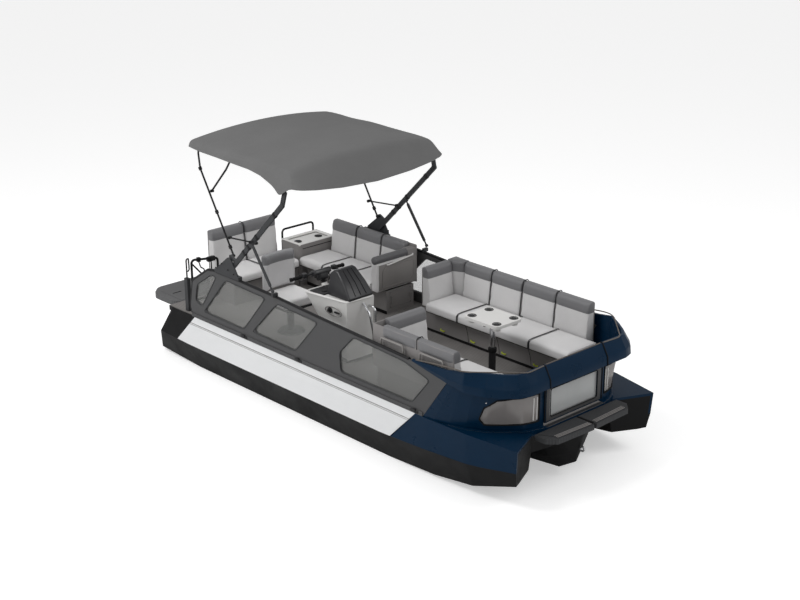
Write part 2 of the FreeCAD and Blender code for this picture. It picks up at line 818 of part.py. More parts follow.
def front_step():
    """The ribbed step over the stem: a plate with two raised pads and a notch between them."""
    rear = deck_edge_shares[-1][0] * half_length + fit_gap
    low = deck_top - overrun - step_thickness
    high = low + step_thickness
    front = half_length
    side_front = front - step_nose_width * step_sweep_share
    outline = [(rear, step_half_width), (side_front - step_nose_width, step_half_width),
               (side_front, step_half_width - step_nose_width), (front, 0)]
    outline += [(x, -y) for x, y in reversed(outline[:-1])]
    plate = plan_slab(outline, low, high)
    notch_half = step_pad_gap / 2
    notch = block((front - step_pad_gap, front + overrun), (-notch_half, notch_half),
                  (low - overrun, high + overrun))
    plate = plate.cut(notch)
    pad = [(rear + step_pad_margin, notch_half), (front - step_pad_margin * 2, notch_half),
           (side_front - step_pad_margin * 2, step_half_width - step_nose_width - step_pad_margin),
           (rear + step_pad_margin, step_half_width - step_pad_margin)]
    pads = plan_slab(pad, high, high + step_pad_height)
    return plate.fuse(pads).fuse(mirrored(pads)).removeSplitter()


def swim_platform():
    rear = -half_length
    fore = -deck_rear - fit_gap
    low = platform_top - platform_thickness
    half = platform_half_width
    corner = platform_corner
    outline = [(fore, half), (rear + corner, half), (rear, half - corner), (rear, corner - half),
               (rear + corner, -half),
               (fore, -half)]
    plate = rounded_plan_slab(outline, corner, low, platform_top)
    pad = inset(outline, platform_pad_margin)
    plate = plate.fuse(plan_slab(pad, platform_top, platform_top + platform_pad_height))
    slot_x = (rear + fore) / 2
    slot_y = -platform_slot_reach
    slot_half = platform_slot_length / 2
    slot = block((slot_x, slot_x + platform_slot_width), (slot_y - slot_half, slot_y + slot_half),
                 (low - overrun, platform_top + overrun))
    plate = plate.cut(slot)
    for side in (-1, 1):
        bracket_y = side * platform_bracket_reach
        bracket = [(transom_x(tunnel_roof), tunnel_roof), (transom_x(low), low), (slot_x, low)]
        bracket = [(x - fit_gap, z) for x, z in bracket]
        half_width = platform_bracket_width / 2
        plate = plate.fuse(side_slab(bracket, bracket_y - half_width, bracket_y + half_width))
    return plate.removeSplitter()


def bow_eye():
    """A towing eye on the stem, its hole running across the boat."""
    half = bow_eye_width / 2
    x = bow_eye_share * half_length
    z = bow_eye_height
    ring = Part.makeCylinder(bow_eye_radius + bow_eye_wall, bow_eye_width, vec(x, -half, z), along_y)
    shank = block((x - bow_eye_shank, x), (-half, half), (z - half, z + half))
    hole = Part.makeCylinder(bow_eye_radius, half_beam * 2, vec(x, -half_beam, z), along_y)
    return largest(ring.fuse(shank).cut(hole).cut(center_hull()))


def jet_axis(x):
    return vec(-x, 0, shaft_height)


def jet_pump():
    """A round pump housing cut to the raked transom, with a spout and lugs for the steering nozzle."""
    outer = round_bar(jet_axis(pump_rear), jet_axis(pump_front), pump_radius)
    rim = round_bar(jet_axis(pump_rear), jet_axis(pump_rear - pump_rim_length), pump_radius + pump_rim)
    spout = round_bar(jet_axis(spout_rear), jet_axis(pump_rear), spout_radius)
    bore_rear = pump_rear - pump_wall
    bore = round_bar(jet_axis(bore_rear), jet_axis(pump_front), pump_radius - pump_wall)
    throat = round_bar(jet_axis(spout_rear), jet_axis(bore_rear), spout_radius - spout_wall)
    body = outer.fuse(rim).fuse(spout)
    lug_low = nozzle_front_radius + blade_tip_gap
    for side in (-1, 1):
        near = shaft_height + side * lug_low
        far = near + side * nozzle_lug_wall
        lug_half = nozzle_lug_width / 2
        lug = block((-spout_rear - lug_half, -pump_rear + overrun), (-lug_half, lug_half), (near, far))
        body = body.fuse(lug)
    pin_hole = Part.makeCylinder(nozzle_pin_radius + fit_gap, pump_radius * 4,
                                 vec(-spout_rear, 0, shaft_height - pump_radius * 2), along_z)
    spout_guard = round_bar(jet_axis(nozzle_rear), jet_axis(pump_rear), spout_radius + overrun)
    body = body.cut(bore).cut(throat).cut(pin_hole.cut(spout_guard))
    hull_side = [(transom_x(floor), floor), (transom_x(deck_top), deck_top), (0, deck_top), (0, floor)]
    return body.cut(side_slab(hull_side, -half_beam, half_beam)).removeSplitter()


def impeller():
    """A hub on its shaft with four twisted blades."""
    tip = pump_radius - pump_wall - blade_tip_gap
    foot_x = -transom_x(shaft_height - shaft_radius) + fit_gap
    body = round_bar(jet_axis(impeller_front + impeller_length), jet_axis(impeller_front), impeller_hub)
    body = body.fuse(round_bar(jet_axis(impeller_front + impeller_length), jet_axis(foot_x), shaft_radius))
    for index in range(blade_count):
        rings = []
        for step in range(blade_steps + 1):
            share = step / blade_steps
            turn = math.radians(full_turn * index / blade_count + blade_turn * share)
            x = -impeller_front - impeller_length * share
            reach = vec(0, math.cos(turn), math.sin(turn))
            across = vec(0, -math.sin(turn), math.cos(turn)) * (blade_thickness / 2)
            root = vec(x, 0, shaft_height) + reach * (impeller_hub * blade_root_share)
            end = vec(x, 0, shaft_height) + reach * tip
            rings.append([root - across, end - across, end + across, root + across])
        body = body.fuse(ring_loft(rings))
    cage = round_bar(jet_axis(pump_rear), jet_axis(pump_front), tip)
    return body.common(cage).removeSplitter()


def jet_nozzle():
    """The steering nozzle: a hollow cone hung on an upright pin, with side pins for the bucket."""
    length = nozzle_rear - nozzle_front
    outer = Part.makeCone(nozzle_front_radius, nozzle_rear_radius, length, jet_axis(nozzle_front), -along_x)
    inner = Part.makeCone(nozzle_front_radius - nozzle_wall, nozzle_rear_radius - nozzle_wall, length,
                          jet_axis(nozzle_front), -along_x)
    pin_reach = nozzle_front_radius + blade_tip_gap + nozzle_lug_wall
    pins = Part.makeCylinder(nozzle_pin_radius, pin_reach * 2,
                             vec(-spout_rear, 0, shaft_height - pin_reach), along_z)
    side_pins = Part.makeCylinder(nozzle_pin_radius, bucket_half * 2,
                                  vec(-bucket_pivot, -bucket_half, shaft_height), along_y)
    return outer.fuse(pins).fuse(side_pins).cut(inner).removeSplitter()


def reverse_bucket():
    """A curved gate on two side arms, parked above the nozzle."""
    pivot = vec(-bucket_pivot, -bucket_half, shaft_height)
    drum = Part.makeCylinder(bucket_radius, bucket_half * 2, pivot, along_y)
    hollow = Part.makeCylinder(bucket_radius - bucket_wall, (bucket_half - bucket_wall) * 2,
                               pivot + along_y * bucket_wall, along_y)
    far = bucket_radius * bucket_cut_share
    wedge = [(-bucket_pivot, shaft_height)]
    for turn in (bucket_first_turn, (bucket_first_turn + bucket_last_turn) / 2, bucket_last_turn):
        angle = math.radians(turn)
        wedge.append((-bucket_pivot + far * math.cos(angle), shaft_height + far * math.sin(angle)))
    shell = drum.cut(hollow).common(side_slab(wedge, -bucket_half, bucket_half))
    boss_radius = nozzle_pin_radius * 2
    bosses = Part.makeCylinder(boss_radius, bucket_half * 2, pivot, along_y)
    bosses = bosses.cut(block((-half_length, 0), (bucket_wall - bucket_half, bucket_half - bucket_wall),
                              (floor, deck_top)))
    shell = shell.fuse(bosses)
    hole = Part.makeCylinder(nozzle_pin_radius + fit_gap, bucket_half * 3, pivot - along_y * overrun,
                             along_y)
    return shell.cut(hole).removeSplitter()


# Fences and rails


def fence_point(x_share, z_share):
    return (-fence_rear + x_share * fence_length, deck_top + z_share * fence_height)


def rail_centre():
    return fence_outer - fence_thickness / 2


def rail_bar(radius):
    points = [vec(x, rail_centre(), z) for x, z in [fence_point(*share) for share in rail_shares]]
    return bent_bar(points, radius, rail_bend)


def top_rail():
    return rail_bar(rail_radius)


def fence_plate_outline():
    outline = [fence_point(*share) for share in rail_shares]
    outline[0] = (outline[0][0], deck_top)
    return outline + [fence_point(*share) for share in fence_front_shares]


def fence_frame():
    """The pressed side frame with its slanted windows, a sill and the groove that the rail sits in."""
    plate = side_slab(fence_plate_outline(), fence_outer - fence_thickness, fence_outer)
    for shares in window_shares:
        outline = [fence_point(*share) for share in shares]
        plate = plate.cut(rounded_side_slab(outline, window_corner, fence_outer - fence_thickness - overrun,
                                            fence_outer + overrun))
        middle_y = fence_outer - fence_thickness / 2
        slot = window_seat(outline)
        plate = plate.cut(rounded_side_slab(slot, window_corner, middle_y - pane_thickness / 2 - fit_gap,
                                            middle_y + pane_thickness / 2 + fit_gap))
    sill_end = fence_point(*fence_front_shares[-1])[0]
    sill_start = fence_point(*rail_shares[0])[0]
    sill = block((sill_start, sill_end), (fence_outer - overrun, fence_outer + sill_thickness),
                 (deck_top, deck_top + sill_height))
    return plate.fuse(sill).cut(rail_bar(rail_radius + fit_gap)).removeSplitter()


def window_seat(outline):
    """The window outline grown by the lip that holds the pane."""
    mid_x = sum(x for x, z in outline) / len(outline)
    mid_z = sum(z for x, z in outline) / len(outline)
    result = []
    for x, z in outline:
        away = math.hypot(x - mid_x, z - mid_z)
        result.append((x + (x - mid_x) * pane_lip / away, z + (z - mid_z) * pane_lip / away))
    return result


def fence_panes():
    middle_y = fence_outer - fence_thickness / 2
    panes = []
    for shares in window_shares:
        outline = window_seat([fence_point(*share) for share in shares])
        wire = rounded_outline([vec(x, middle_y - pane_thickness / 2, z) for x, z in outline], window_corner)
        pane = Part.Face(wire.makeOffset2D(-fit_gap * 2)).extrude(along_y * pane_thickness)
        panes.append(pane)
    return panes


# Bow wall, band and gate


def inward(points, index):
    """The unit vector into the boat at one point of a plan line that runs from the side to the gate."""
    before = points[max(index - 1, 0)]
    after = points[min(index + 1, len(points) - 1)]
    dx = after[0] - before[0]
    dy = after[1] - before[1]
    size = math.hypot(dx, dy)
    return (dy / size, -dx / size)


def wall_shell(first_depth, last_depth):
    """The curved bow wall between two depths behind its outer face."""
    foot = scaled(wall_foot_shares, half_length, half_beam)
    head = scaled(wall_head_shares, half_length, half_beam)
    rings = []
    for index in range(len(foot)):
        nx, ny = inward(foot, index)
        high = band_lip * wall_height_shares[index]
        ring = []
        for (x, y), z, depth in ((foot[index], deck_top, first_depth), (head[index], high, first_depth),
                                 (head[index], high, last_depth), (foot[index], deck_top, last_depth)):
            ring.append(vec(x + nx * depth, y + ny * depth, z))
        rings.append(ring)
    return ring_loft(rings)


def corner_window_region(margin):
    first = gate_half_width + gate_gap + corner_window_margin
    outline = [(first, corner_window_low), (first, corner_window_high)]
    outline += [(y * half_beam, z * band_lip) for y, z in corner_window_shares]
    wire = rounded_outline([vec(wall_foot_shares[0][0] * half_length, y, z) for y, z in outline],
                           window_corner)
    if margin:
        wire = wire.makeOffset2D(margin)
    return Part.Face(wire).extrude(along_x * half_length)


def band():
    """The flared band that carries the rim: a lip over the wall, a bulge and the rim above it."""
    lip = scaled(lip_shares, half_length, half_beam)
    rings = []
    for index, (x, y) in enumerate(lip):
        nx, ny = inward(lip, index)
        ring = []
        for depth, z in band_section(index):
            ring.append(vec(x + nx * depth, y + ny * depth, z))
        rings.append(ring)
    return ring_loft(rings)


def band_section(index):
    """The band's section at one station, as depths behind the lip and heights."""
    lip_z = lip_height_shares[index] * rim_height
    rim_z = rim_height_shares[index] * rim_height
    rim_depth = band_flare * rim_inset_shares[index]
    bulge_depth = rim_depth * bulge_height_share - bulge_out * bulge_reach_shares[index]
    bulge_z = lip_z + (rim_z - lip_z) * bulge_height_share
    return [(0, lip_z), (bulge_depth, bulge_z), (rim_depth, rim_z), (rim_depth + band_wall, rim_z),
            (band_flare * low_inset_shares[index], lip_z)]


def hinge_knuckle(low, high):
    """A round knuckle on the gate's hinge line."""
    return Part.makeCylinder(gate_hinge_radius, high - low, vec(gate_pivot_x, gate_pivot_y, low), along_z)


def bow_fairing(side):
    wall = wall_shell(0, wall_thickness).cut(corner_window_region(0))
    body = wall.fuse(band())
    if side > 0:
        span = gate_hinge_high - gate_hinge_low
        low = gate_hinge_low + span / 3 + moving_gap / 4
        high = gate_hinge_high - span / 3 - moving_gap / 4
        leaf = block((gate_pivot_x, gate_pivot_x + gate_leaf), (gate_pivot_y, gate_pivot_y + gate_leaf),
                     (low, high))
        body = body.fuse(hinge_knuckle(low, high)).fuse(leaf)
    return body.removeSplitter()


def bow_window():
    depth = (wall_thickness - pane_thickness) / 2
    return wall_shell(depth, depth + pane_thickness).common(corner_window_region(-fit_gap))


def gate_profile(station_y, crown):
    lip_x = lip_shares[-1][0] * half_length
    return [vec(lip_x - depth + crown, station_y, z) for depth, z in band_section(-1)[:3]] + [
        vec(lip_x - depth, station_y, z) for depth, z in band_section(-1)[3:]]


def bow_gate_panel():
    """The gate: a framed window below, the flared band above and two hinge knuckles on the port side."""
    half = gate_half_width
    body = ring_loft([gate_profile(-half, 0), gate_profile(0, gate_crown), gate_profile(half, 0)])
    rear = gate_pivot_x + gate_hinge_radius + moving_gap
    lip_z = lip_height_shares[-1] * rim_height
    plate = block((rear, rear + gate_thickness), (-half, half), (gate_foot, lip_z + overrun))
    plate = plate.cut(gate_window_shape(0, rear - overrun, rear + gate_thickness + overrun))
    body = body.fuse(plate)
    span = gate_hinge_high - gate_hinge_low
    for low, high in ((gate_hinge_low, gate_hinge_low + span / 3),
                      (gate_hinge_high - span / 3, gate_hinge_high)):
        leaf = block((gate_pivot_x, rear + overrun / 4),
                     (gate_pivot_y - gate_leaf, gate_pivot_y - gate_hinge_radius / 2), (low, high))
        body = body.fuse(hinge_knuckle(low, high)).fuse(leaf)
    return body.removeSplitter()


def gate_window_shape(shrink, rear, fore):
    half = gate_half_width - gate_frame
    lip_z = lip_height_shares[-1] * rim_height
    low = gate_foot + gate_frame * gate_window_foot_share
    high = lip_z - gate_frame * gate_window_head_share
    wire = rounded_outline([vec(rear, -half, low), vec(rear, half, low), vec(rear, half, high),
                            vec(rear, -half, high)],
                           gate_window_corner)
    if shrink:
        wire = wire.makeOffset2D(-shrink)
    return Part.Face(wire).extrude(along_x * (fore - rear))


def bow_gate_window():
    rear = gate_pivot_x + gate_hinge_radius + moving_gap
    first = rear + (gate_thickness - pane_thickness) / 2
    return gate_window_shape(fit_gap, first, first + pane_thickness)


# Stern gate


def stern_gate_post():
    outer = stern_post_outer
    inner = outer - stern_post_width
    post = block((-stern_gate_rear - stern_post_depth / 2, -stern_gate_rear + stern_post_depth / 2),
                 (-outer, -inner),
                 (deck_top, stern_post_height))
    pivot = vec(-stern_gate_rear, -stern_gate_outer, stern_gate_low)
    shelf_low = stern_gate_low - stern_gate_tube * 2 - fit_gap
    shelf = block((-stern_gate_rear - stern_gate_tube, -stern_gate_rear + stern_gate_tube),
                  (-inner, -stern_gate_outer + stern_gate_tube), (shelf_low, shelf_low + stern_gate_tube))
    return post.fuse(shelf).removeSplitter()


def stern_gate():
    """A tubular leaf: an upright on the hinge line, a free end, cross bars and a slanted loop."""
    x = -stern_gate_rear
    radius = stern_gate_tube
    outer = -stern_gate_outer
    inner = -stern_gate_inner
    mid = (outer + inner) / 2
    low = stern_gate_low
    high = stern_gate_high
    frame = bent_bar([vec(x, outer, low - radius), vec(x, outer, high), vec(x, inner, high - radius * 4),
                      vec(x, inner, low),
                      vec(x, outer, low + radius)], radius, radius * 3)
    brace = round_bar(vec(x, outer, (low + high) / 2), vec(x, inner, (low + high) / 2), radius * brace_share)
    slant = round_bar(vec(x, outer, high - radius * 3), vec(x, mid, (low + high) / 2), radius * slant_share)
    return frame.fuse(brace).fuse(slant).removeSplitter()


# Benches


def back_profile(outer):
    """The section of a backrest: its depth from the outer face and its height."""
    low = base_top + fit_gap
    round_size = back_round
    return [(outer, low), (outer, back_top - round_size), (outer - round_size, back_top),
            (outer - back_top_depth + round_size, back_top), (outer - back_top_depth, back_top - round_size),
            (outer - back_foot_depth, seat_top), (outer - back_foot_depth, low)]


def bench_base(x_pair, y_front, y_back, corner_cut):
    """An open-topped storage box under the seat, its front raked in at the foot."""
    rear, fore = x_pair
    outline = [(rear, y_front), (fore - corner_cut, y_front), (fore, y_front + corner_cut), (fore, y_back),
               (rear, y_back)]
    body = plan_slab(outline, deck_top, base_top)
    hold = [(rear + base_wall, y_front + base_wall), (fore - corner_cut - base_wall, y_front + base_wall),
            (fore - base_wall, y_front + corner_cut + base_wall), (fore - base_wall, y_back - base_wall),
            (rear + base_wall, y_back - base_wall)]
    return body.cut(plan_slab(hold, deck_top + base_floor, base_top + overrun))


def side_seat(x_pair, y_front, y_back):
    low = base_top + fit_gap
    return rounded_cross_slab([(y_front, low), (y_back, low), (y_back, seat_top), (y_front, seat_top)],
                              back_round,
                              x_pair[0], x_pair[1])


def front_back(return_end, rear):
    """The long backrest with its return across the after end."""
    long_back = cross_slab(back_profile(bench_back), rear, front_back_fore)
    across = [(rear + (bench_back - d), z) for d, z in back_profile(bench_back)]
    turned = side_slab(across, return_end, bench_back)
    return long_back.fuse(turned).removeSplitter()


def port_front_base():
    return bench_base((front_bench_rear, front_bench_fore - base_inset), base_front, bench_base_back,
                      base_corner)


def port_front_cushion():
    rear = front_bench_rear + back_foot_depth + seat_lean_gap
    return side_seat((rear, front_bench_fore), seat_front, bench_back - back_foot_depth - seat_lean_gap)


def starboard_front_base():
    return mirrored(bench_base((starboard_bench_rear, front_bench_fore - base_inset), base_front,
                               bench_base_back, base_corner))


def starboard_front_cushion():
    rear = starboard_bench_rear + back_foot_depth + seat_lean_gap
    return mirrored(side_seat((rear, front_bench_fore), seat_front,
                              bench_back - back_foot_depth - seat_lean_gap))


def backrest_handles():
    """Two looped grab handles on the outboard face of the starboard backrest."""
    handles = []
    room = front_back_fore - starboard_bench_rear
    for share in handle_shares:
        centre = starboard_bench_rear + room * share
        reach = min(bench_back + handle_radius + handle_stand,
                    rail_centre() - rail_radius - handle_radius - fit_gap * 2)
        y = -reach
        high = back_top - handle_drop
        start = vec(centre - handle_length / 2, -bench_back - fit_gap, high - handle_drop)
        end = vec(centre + handle_length / 2, -bench_back - fit_gap, high - handle_drop)
        handles.append(bent_bar([start, vec(start.x, y, start.z), vec(start.x, y, high), vec(end.x, y, high),
                                 vec(end.x, y, end.z), end], handle_radius,
                                handle_radius * handle_bend_share))
    return handles


def mid_port_base():
    body = bench_base((-mid_bench_rear, -mid_bench_fore), base_front, bench_base_back, 0)
    recess = block((-mid_bench_fore - door_thickness, -mid_bench_fore + overrun),
                   (door_port - door_width - door_margin, door_port + door_margin),
                   (door_foot - door_margin, door_foot + door_height + door_margin))
    return body.cut(recess)


def mid_port_backrest():
    """The long backrest with a padded arm and its round roll at the forward end."""
    rear = -mid_bench_rear
    fore = -mid_bench_fore
    long_back = cross_slab(back_profile(bench_back), rear, fore)
    low = base_top + fit_gap
    roll = mid_arm_depth / 2
    arm = block((fore - mid_arm_depth, fore), (seat_front, bench_back), (low, mid_arm_top - roll))
    cap = round_bar(vec(fore - roll, seat_front, mid_arm_top - roll),
                    vec(fore - roll, bench_back, mid_arm_top - roll), roll)
    return long_back.fuse(arm).fuse(cap).removeSplitter()


def mid_port_cushion():
    fore = -mid_bench_fore - mid_arm_depth - seat_lean_gap
    return side_seat((-mid_bench_rear, fore), seat_front, bench_back - back_foot_depth - seat_lean_gap)


def storage_door():
    """The moulded door in the forward end of the middle bench, with a raised grip."""
    fore = -mid_bench_fore
    inner = door_port - door_width
    panel = rounded_cross_slab([(inner, door_foot), (door_port, door_foot),
                                (door_port, door_foot + door_height),
                                (inner, door_foot + door_height)], door_grip_depth * 2,
                                fore - door_thickness + fit_gap, fore)
    middle_z = door_foot + door_height / 2
    grip = bent_bar([vec(fore - fit_gap, inner + base_wall, middle_z - door_grip_length / 2),
                     vec(fore + door_grip_depth, inner + base_wall, middle_z - door_grip_length / 2),
                     vec(fore + door_grip_depth, inner + base_wall, middle_z + door_grip_length / 2),
                     vec(fore - fit_gap, inner + base_wall, middle_z + door_grip_length / 2)],
                    door_grip_depth / 3, door_grip_depth / 2)
    low = middle_z - door_height * door_hinge_share
    high = middle_z + door_height * door_hinge_share
    pivot_x = fore + door_barrel + fit_gap
    barrel = Part.makeCylinder(door_barrel, high - low, vec(pivot_x, door_port + door_barrel, low), along_z)
    leaf = block((fore + fit_gap, pivot_x), (door_port - base_wall, door_port + door_barrel), (low, high))
    root = block((fore - fit_gap, pivot_x), (door_port - base_wall, door_port), (low, high))
    return panel.fuse(grip).fuse(barrel).fuse(leaf).fuse(root).removeSplitter()


def stern_base():
    """The stern bench's open-topped box, its front set back for the feet."""
    rear = -stern_bench_rear + base_inset
    fore = -stern_base_fore
    body = block((rear, fore), (-stern_bench_starboard, stern_bench_port), (deck_top, base_top))
    hold = block((rear + base_wall, fore - base_wall),
                 (-stern_bench_starboard + base_wall, stern_bench_port - base_wall),
                 (deck_top + base_floor, base_top + overrun))
    return body.cut(hold)


def stern_backrest():
    rise = stern_back_top - back_top
    profile = [(-d, z + (rise if z > seat_top else 0)) for d, z in back_profile(stern_bench_rear)]
    return side_slab(profile, -stern_bench_starboard, stern_bench_port)


def stern_cushion():
    rear = -stern_bench_rear + back_foot_depth + seat_lean_gap
    low = base_top + fit_gap
    return rounded_side_slab([(rear, low), (-stern_bench_fore, low), (-stern_bench_fore, seat_top),
                              (rear, seat_top)],
                             back_round, -stern_bench_starboard,
                             min(stern_bench_port, seat_front - seat_lift_gap))


# Corner console and its rail


def corner_console():
    """A moulded cabinet with a shallow tray and two cup wells in its top."""
    outline = [(-console_rear, console_inner), (-console_fore, console_inner),
               (-console_fore, console_outer),
               (-console_rear, console_outer)]
    body = rounded_plan_slab(outline, console_corner, deck_top, console_top)
    body = body.cut(rounded_plan_slab(inset(outline, tray_margin), console_corner, console_top - tray_depth,
                                      console_top + overrun))
    for share in cup_place_shares:
        y = console_inner + (console_outer - console_inner) * share
        centre = vec(-(console_rear + console_fore) / 2, y, console_top - tray_depth - cup_depth)
        body = body.cut(Part.makeCylinder(cup_radius, console_top, centre, along_z))
    return body


def grab_rail():
    """A bent rail that stands behind the cabinet."""
    x = -console_rear - grab_radius - fit_gap
    port = console_outer - grab_bend
    inner = console_inner + grab_bend
    foot = deck_top
    return bent_bar([vec(x, port, foot), vec(x, port, grab_height), vec(x, inner, grab_height),
                     vec(x, inner, foot)],
                    grab_radius, grab_bend)


# Helm


def helm_ring(shares, height):
    return [vec(x * helm_reach, -y * helm_side, height) for x, y in shares]


def helm_console():
    """The moulded helm: a narrow foot that flares to a wide rim."""
    body = ring_loft([helm_ring(helm_foot_shares, deck_top), helm_ring(helm_waist_shares, helm_waist),
                      helm_ring(helm_rim_shares, helm_rim)])
    head = round_bar(steering_point(0, 0, -steer_head_length), steering_point(0, 0, 0), steer_head)
    return body.fuse(head).removeSplitter()


def windshield():
    """The low hood over the dash: a foot, a waist and a narrow crest."""
    heights = (fit_gap, shield_rise, shield_height)
    rings = [helm_ring(shares, helm_rim + height) for shares, height in zip(shield_shares, heights)]
    return ring_loft(rings)


def helm_grab_rail():
    """The bright rail that runs down ahead of the helm."""
    x = helm_reach + helm_grab_reach
    y = -helm_side * helm_grab_share
    start = vec(helm_reach - overrun, y, helm_grab_height)
    bar = bent_bar([start, vec(x, y, helm_grab_height), vec(x, y, deck_top)], helm_grab_radius,
                   helm_grab_radius * 5)
    return largest(bar.cut(helm_console()))


def steering_point(along, across, up):
    """A place in the handlebar's own frame: back along the rake, across the boat and up the column."""
    rake = math.radians(steer_rake)
    pivot = vec(-steer_x, -steer_side, steer_height)
    column = vec(-math.sin(rake), 0, math.cos(rake))
    back = vec(-math.cos(rake), 0, -math.sin(rake))
    return pivot + column * up + back * along + along_y * across


def handlebar():
    """A column, a swept bar with grips and a crash pad."""
    column = round_bar(steering_point(0, 0, fit_gap), steering_point(0, 0, steer_column_length),
                       steer_column)
    knee = bar_half * bar_knee_share
    height = steer_column_length
    bar = bent_bar([steering_point(bar_sweep, -bar_half, height + bar_rise),
                    steering_point(0, -knee, height + bar_rise),
                    steering_point(0, -knee / 2, height), steering_point(0, knee / 2, height),
                    steering_point(0, knee, height + bar_rise),
                    steering_point(bar_sweep, bar_half, height + bar_rise)],
                   bar_radius, bar_radius * 3)
    body = column.fuse(bar)
    for side in (-1, 1):
        tip = steering_point(bar_sweep, side * bar_half, height + bar_rise)
        knee_point = steering_point(0, side * knee, height + bar_rise)
        run = (knee_point - tip).normalize()
        body = body.fuse(round_bar(tip, tip + run * grip_length, grip_radius))
    half = bar_pad_length / 2
    wide = bar_pad_width / 2
    rings = []
    for rise, share in bar_pad_shares:
        up = height + bar_pad_height * rise
        corners = ((-wide, -half), (wide, -half), (wide, half), (-wide, half))
        rings.append([steering_point(along * share, across * share, up) for along, across in corners])
    return body.fuse(ring_loft(rings)).removeSplitter()


# Captain's chair and table


def chair_pedestal():
    centre = vec(-chair_x, -chair_side, deck_top)
    base = Part.makeCone(chair_base_radius, chair_base_radius * chair_base_share, chair_base_height, centre,
                         along_z)
    post = Part.makeCylinder(chair_post_radius, chair_seat_foot - chair_plate - fit_gap - deck_top, centre,
                             along_z)
    return base.fuse(post).removeSplitter()


def captain_seat():
    """The seat pad on its turning plate."""
    corners = ((-chair_front, -chair_half_width), (chair_front, -chair_half_width),
               (chair_front, chair_half_width),
               (-chair_front, chair_half_width))
    outline = [(x - chair_x, y - chair_side) for x, y in corners]
    pad = rounded_plan_slab(outline, chair_seat_corner, chair_seat_foot, chair_seat_top)
    centre = vec(-chair_x, -chair_side, chair_seat_foot - chair_plate)
    plate = Part.makeCylinder(chair_plate_radius, chair_plate, centre, along_z)
    return pad.fuse(plate).removeSplitter()


def captain_backrest():
    """A leaning back with low wings, standing on the after edge of the seat."""
    low = chair_seat_top + fit_gap
    half = chair_half_width
    rings = []
    for share in chair_back_shares:
        height, width, thick = share
        z = low + (chair_back_top - low) * height
        lean = chair_back_lean * height
        rear = -chair_x - chair_back_depth + chair_back_lean - lean
        fore = rear + chair_back_thickness * thick
        half_here = half * width
        wing = half_here * chair_wing_share
        rings.append([vec(rear, -chair_side - wing, z), vec(rear, -chair_side + wing, z),
                      vec(fore, -chair_side + half_here, z), vec(fore, -chair_side - half_here, z)])
    return ring_loft(rings)


def table_top():
    half_l = table_length / 2
    half_w = table_width / 2
    corners = ((-half_l, -half_w), (half_l, -half_w), (half_l, half_w), (-half_l, half_w))
    outline = [(table_x + x, table_y + y) for x, y in corners]
    slab = rounded_plan_slab(outline, table_corner, table_top_height - table_thickness, table_top_height)
    cups = []
    for x_side in (-1, 1):
        for y_side in (-1, 1):
            x = table_x + x_side * (half_l - table_cup_inset)
            y = table_y + y_side * (half_w - table_cup_inset)
            centre = vec(x, y, table_top_height - cup_depth)
            outer = Part.makeCylinder(cup_radius, cup_depth - table_thickness / 2, centre, along_z)
            slab = slab.fuse(outer)
            cups.append(Part.makeCylinder(cup_radius - cup_wall, cup_depth + overrun,
                                          centre + along_z * cup_wall, along_z))
    for cup in cups:
        slab = slab.cut(cup)
    return slab.removeSplitter()


def table_pedestal():
    foot = vec(table_x, table_y, deck_top)
    base = Part.makeCone(table_base_radius, table_base_radius * table_base_share, table_base_height, foot,
                         along_z)
    sleeve = Part.makeCylinder(table_sleeve_radius, table_sleeve_height, foot, along_z)
    post = Part.makeCylinder(table_post_radius, table_top_height - table_thickness - deck_top, foot, along_z)
    return base.fuse(sleeve).fuse(post).removeSplitter()


# Folding sun top


def bimini_brackets():
    """A saddle on each top rail with an ear outboard of the main bow, and a socket for the strut's foot."""
    pivot = vec(-main_pivot_x, main_lane, main_pivot_z)
    ear_near = main_lane + arm_width / 2 + fit_gap
    saddle_low = main_pivot_z - bracket_drop
    outline = [(-bracket_rear, saddle_low), (-bracket_fore, saddle_low),
               (-main_pivot_x + bracket_saddle, bracket_crest),
               (-main_pivot_x - bracket_saddle, bracket_crest)]
    ear = rounded_side_slab(outline, bracket_saddle, ear_near, ear_near + bracket_thickness)
    saddle = block((-bracket_rear, -bracket_fore),
                   (rail_centre() - rail_radius, ear_near + bracket_thickness),
                   (saddle_low - bracket_saddle, saddle_low + bracket_thickness))
    body = ear.fuse(saddle).cut(rail_bar(rail_radius + fit_gap))
    pin = Part.makeCylinder(pin_radius, ear_near + bracket_thickness - main_lane + arm_width / 2,
                            pivot - along_y * (arm_width / 2), along_y)
    body = body.fuse(pin)
    foot = vec(-strut_foot_x, strut_lane, strut_foot_z)
    socket = block((-strut_foot_x - strut_socket / 2, -strut_foot_x + strut_socket / 2),
                   (rail_centre() - rail_radius, strut_lane + thin_radius),
                   (strut_foot_z - strut_socket * 2, strut_foot_z - strut_socket_top))
    socket = socket.cut(rail_bar(rail_radius + fit_gap))
    port = [largest(body), largest(socket)]
    return port + [mirrored(shape) for shape in port]


def eye(x, lane, z, width, radius):
    return Part.makeCylinder(radius, width, vec(x, lane - width / 2, z), along_y)


def pin_hole(x, z):
    run = half_beam * pin_run_share
    return Part.makeCylinder(pin_radius + fit_gap, run, vec(x, -run / 2, z), along_y)


def arm_outline(start, end, depth):
    run = vec(end[0] - start[0], 0, end[1] - start[1]).normalize()
    side = vec(-run.z, 0, run.x) * (depth / 2)
    return [(start[0] + side.x, start[1] + side.z), (end[0] + side.x, end[1] + side.z),
            (end[0] - side.x, end[1] - side.z), (start[0] - side.x, start[1] - side.z)]


def main_point(share):
    """A place along the straight part of the main arm."""
    return (-main_pivot_x + (main_pivot_x - arm_knee_x) * share,
            main_pivot_z + (arm_knee_z - main_pivot_z) * share)


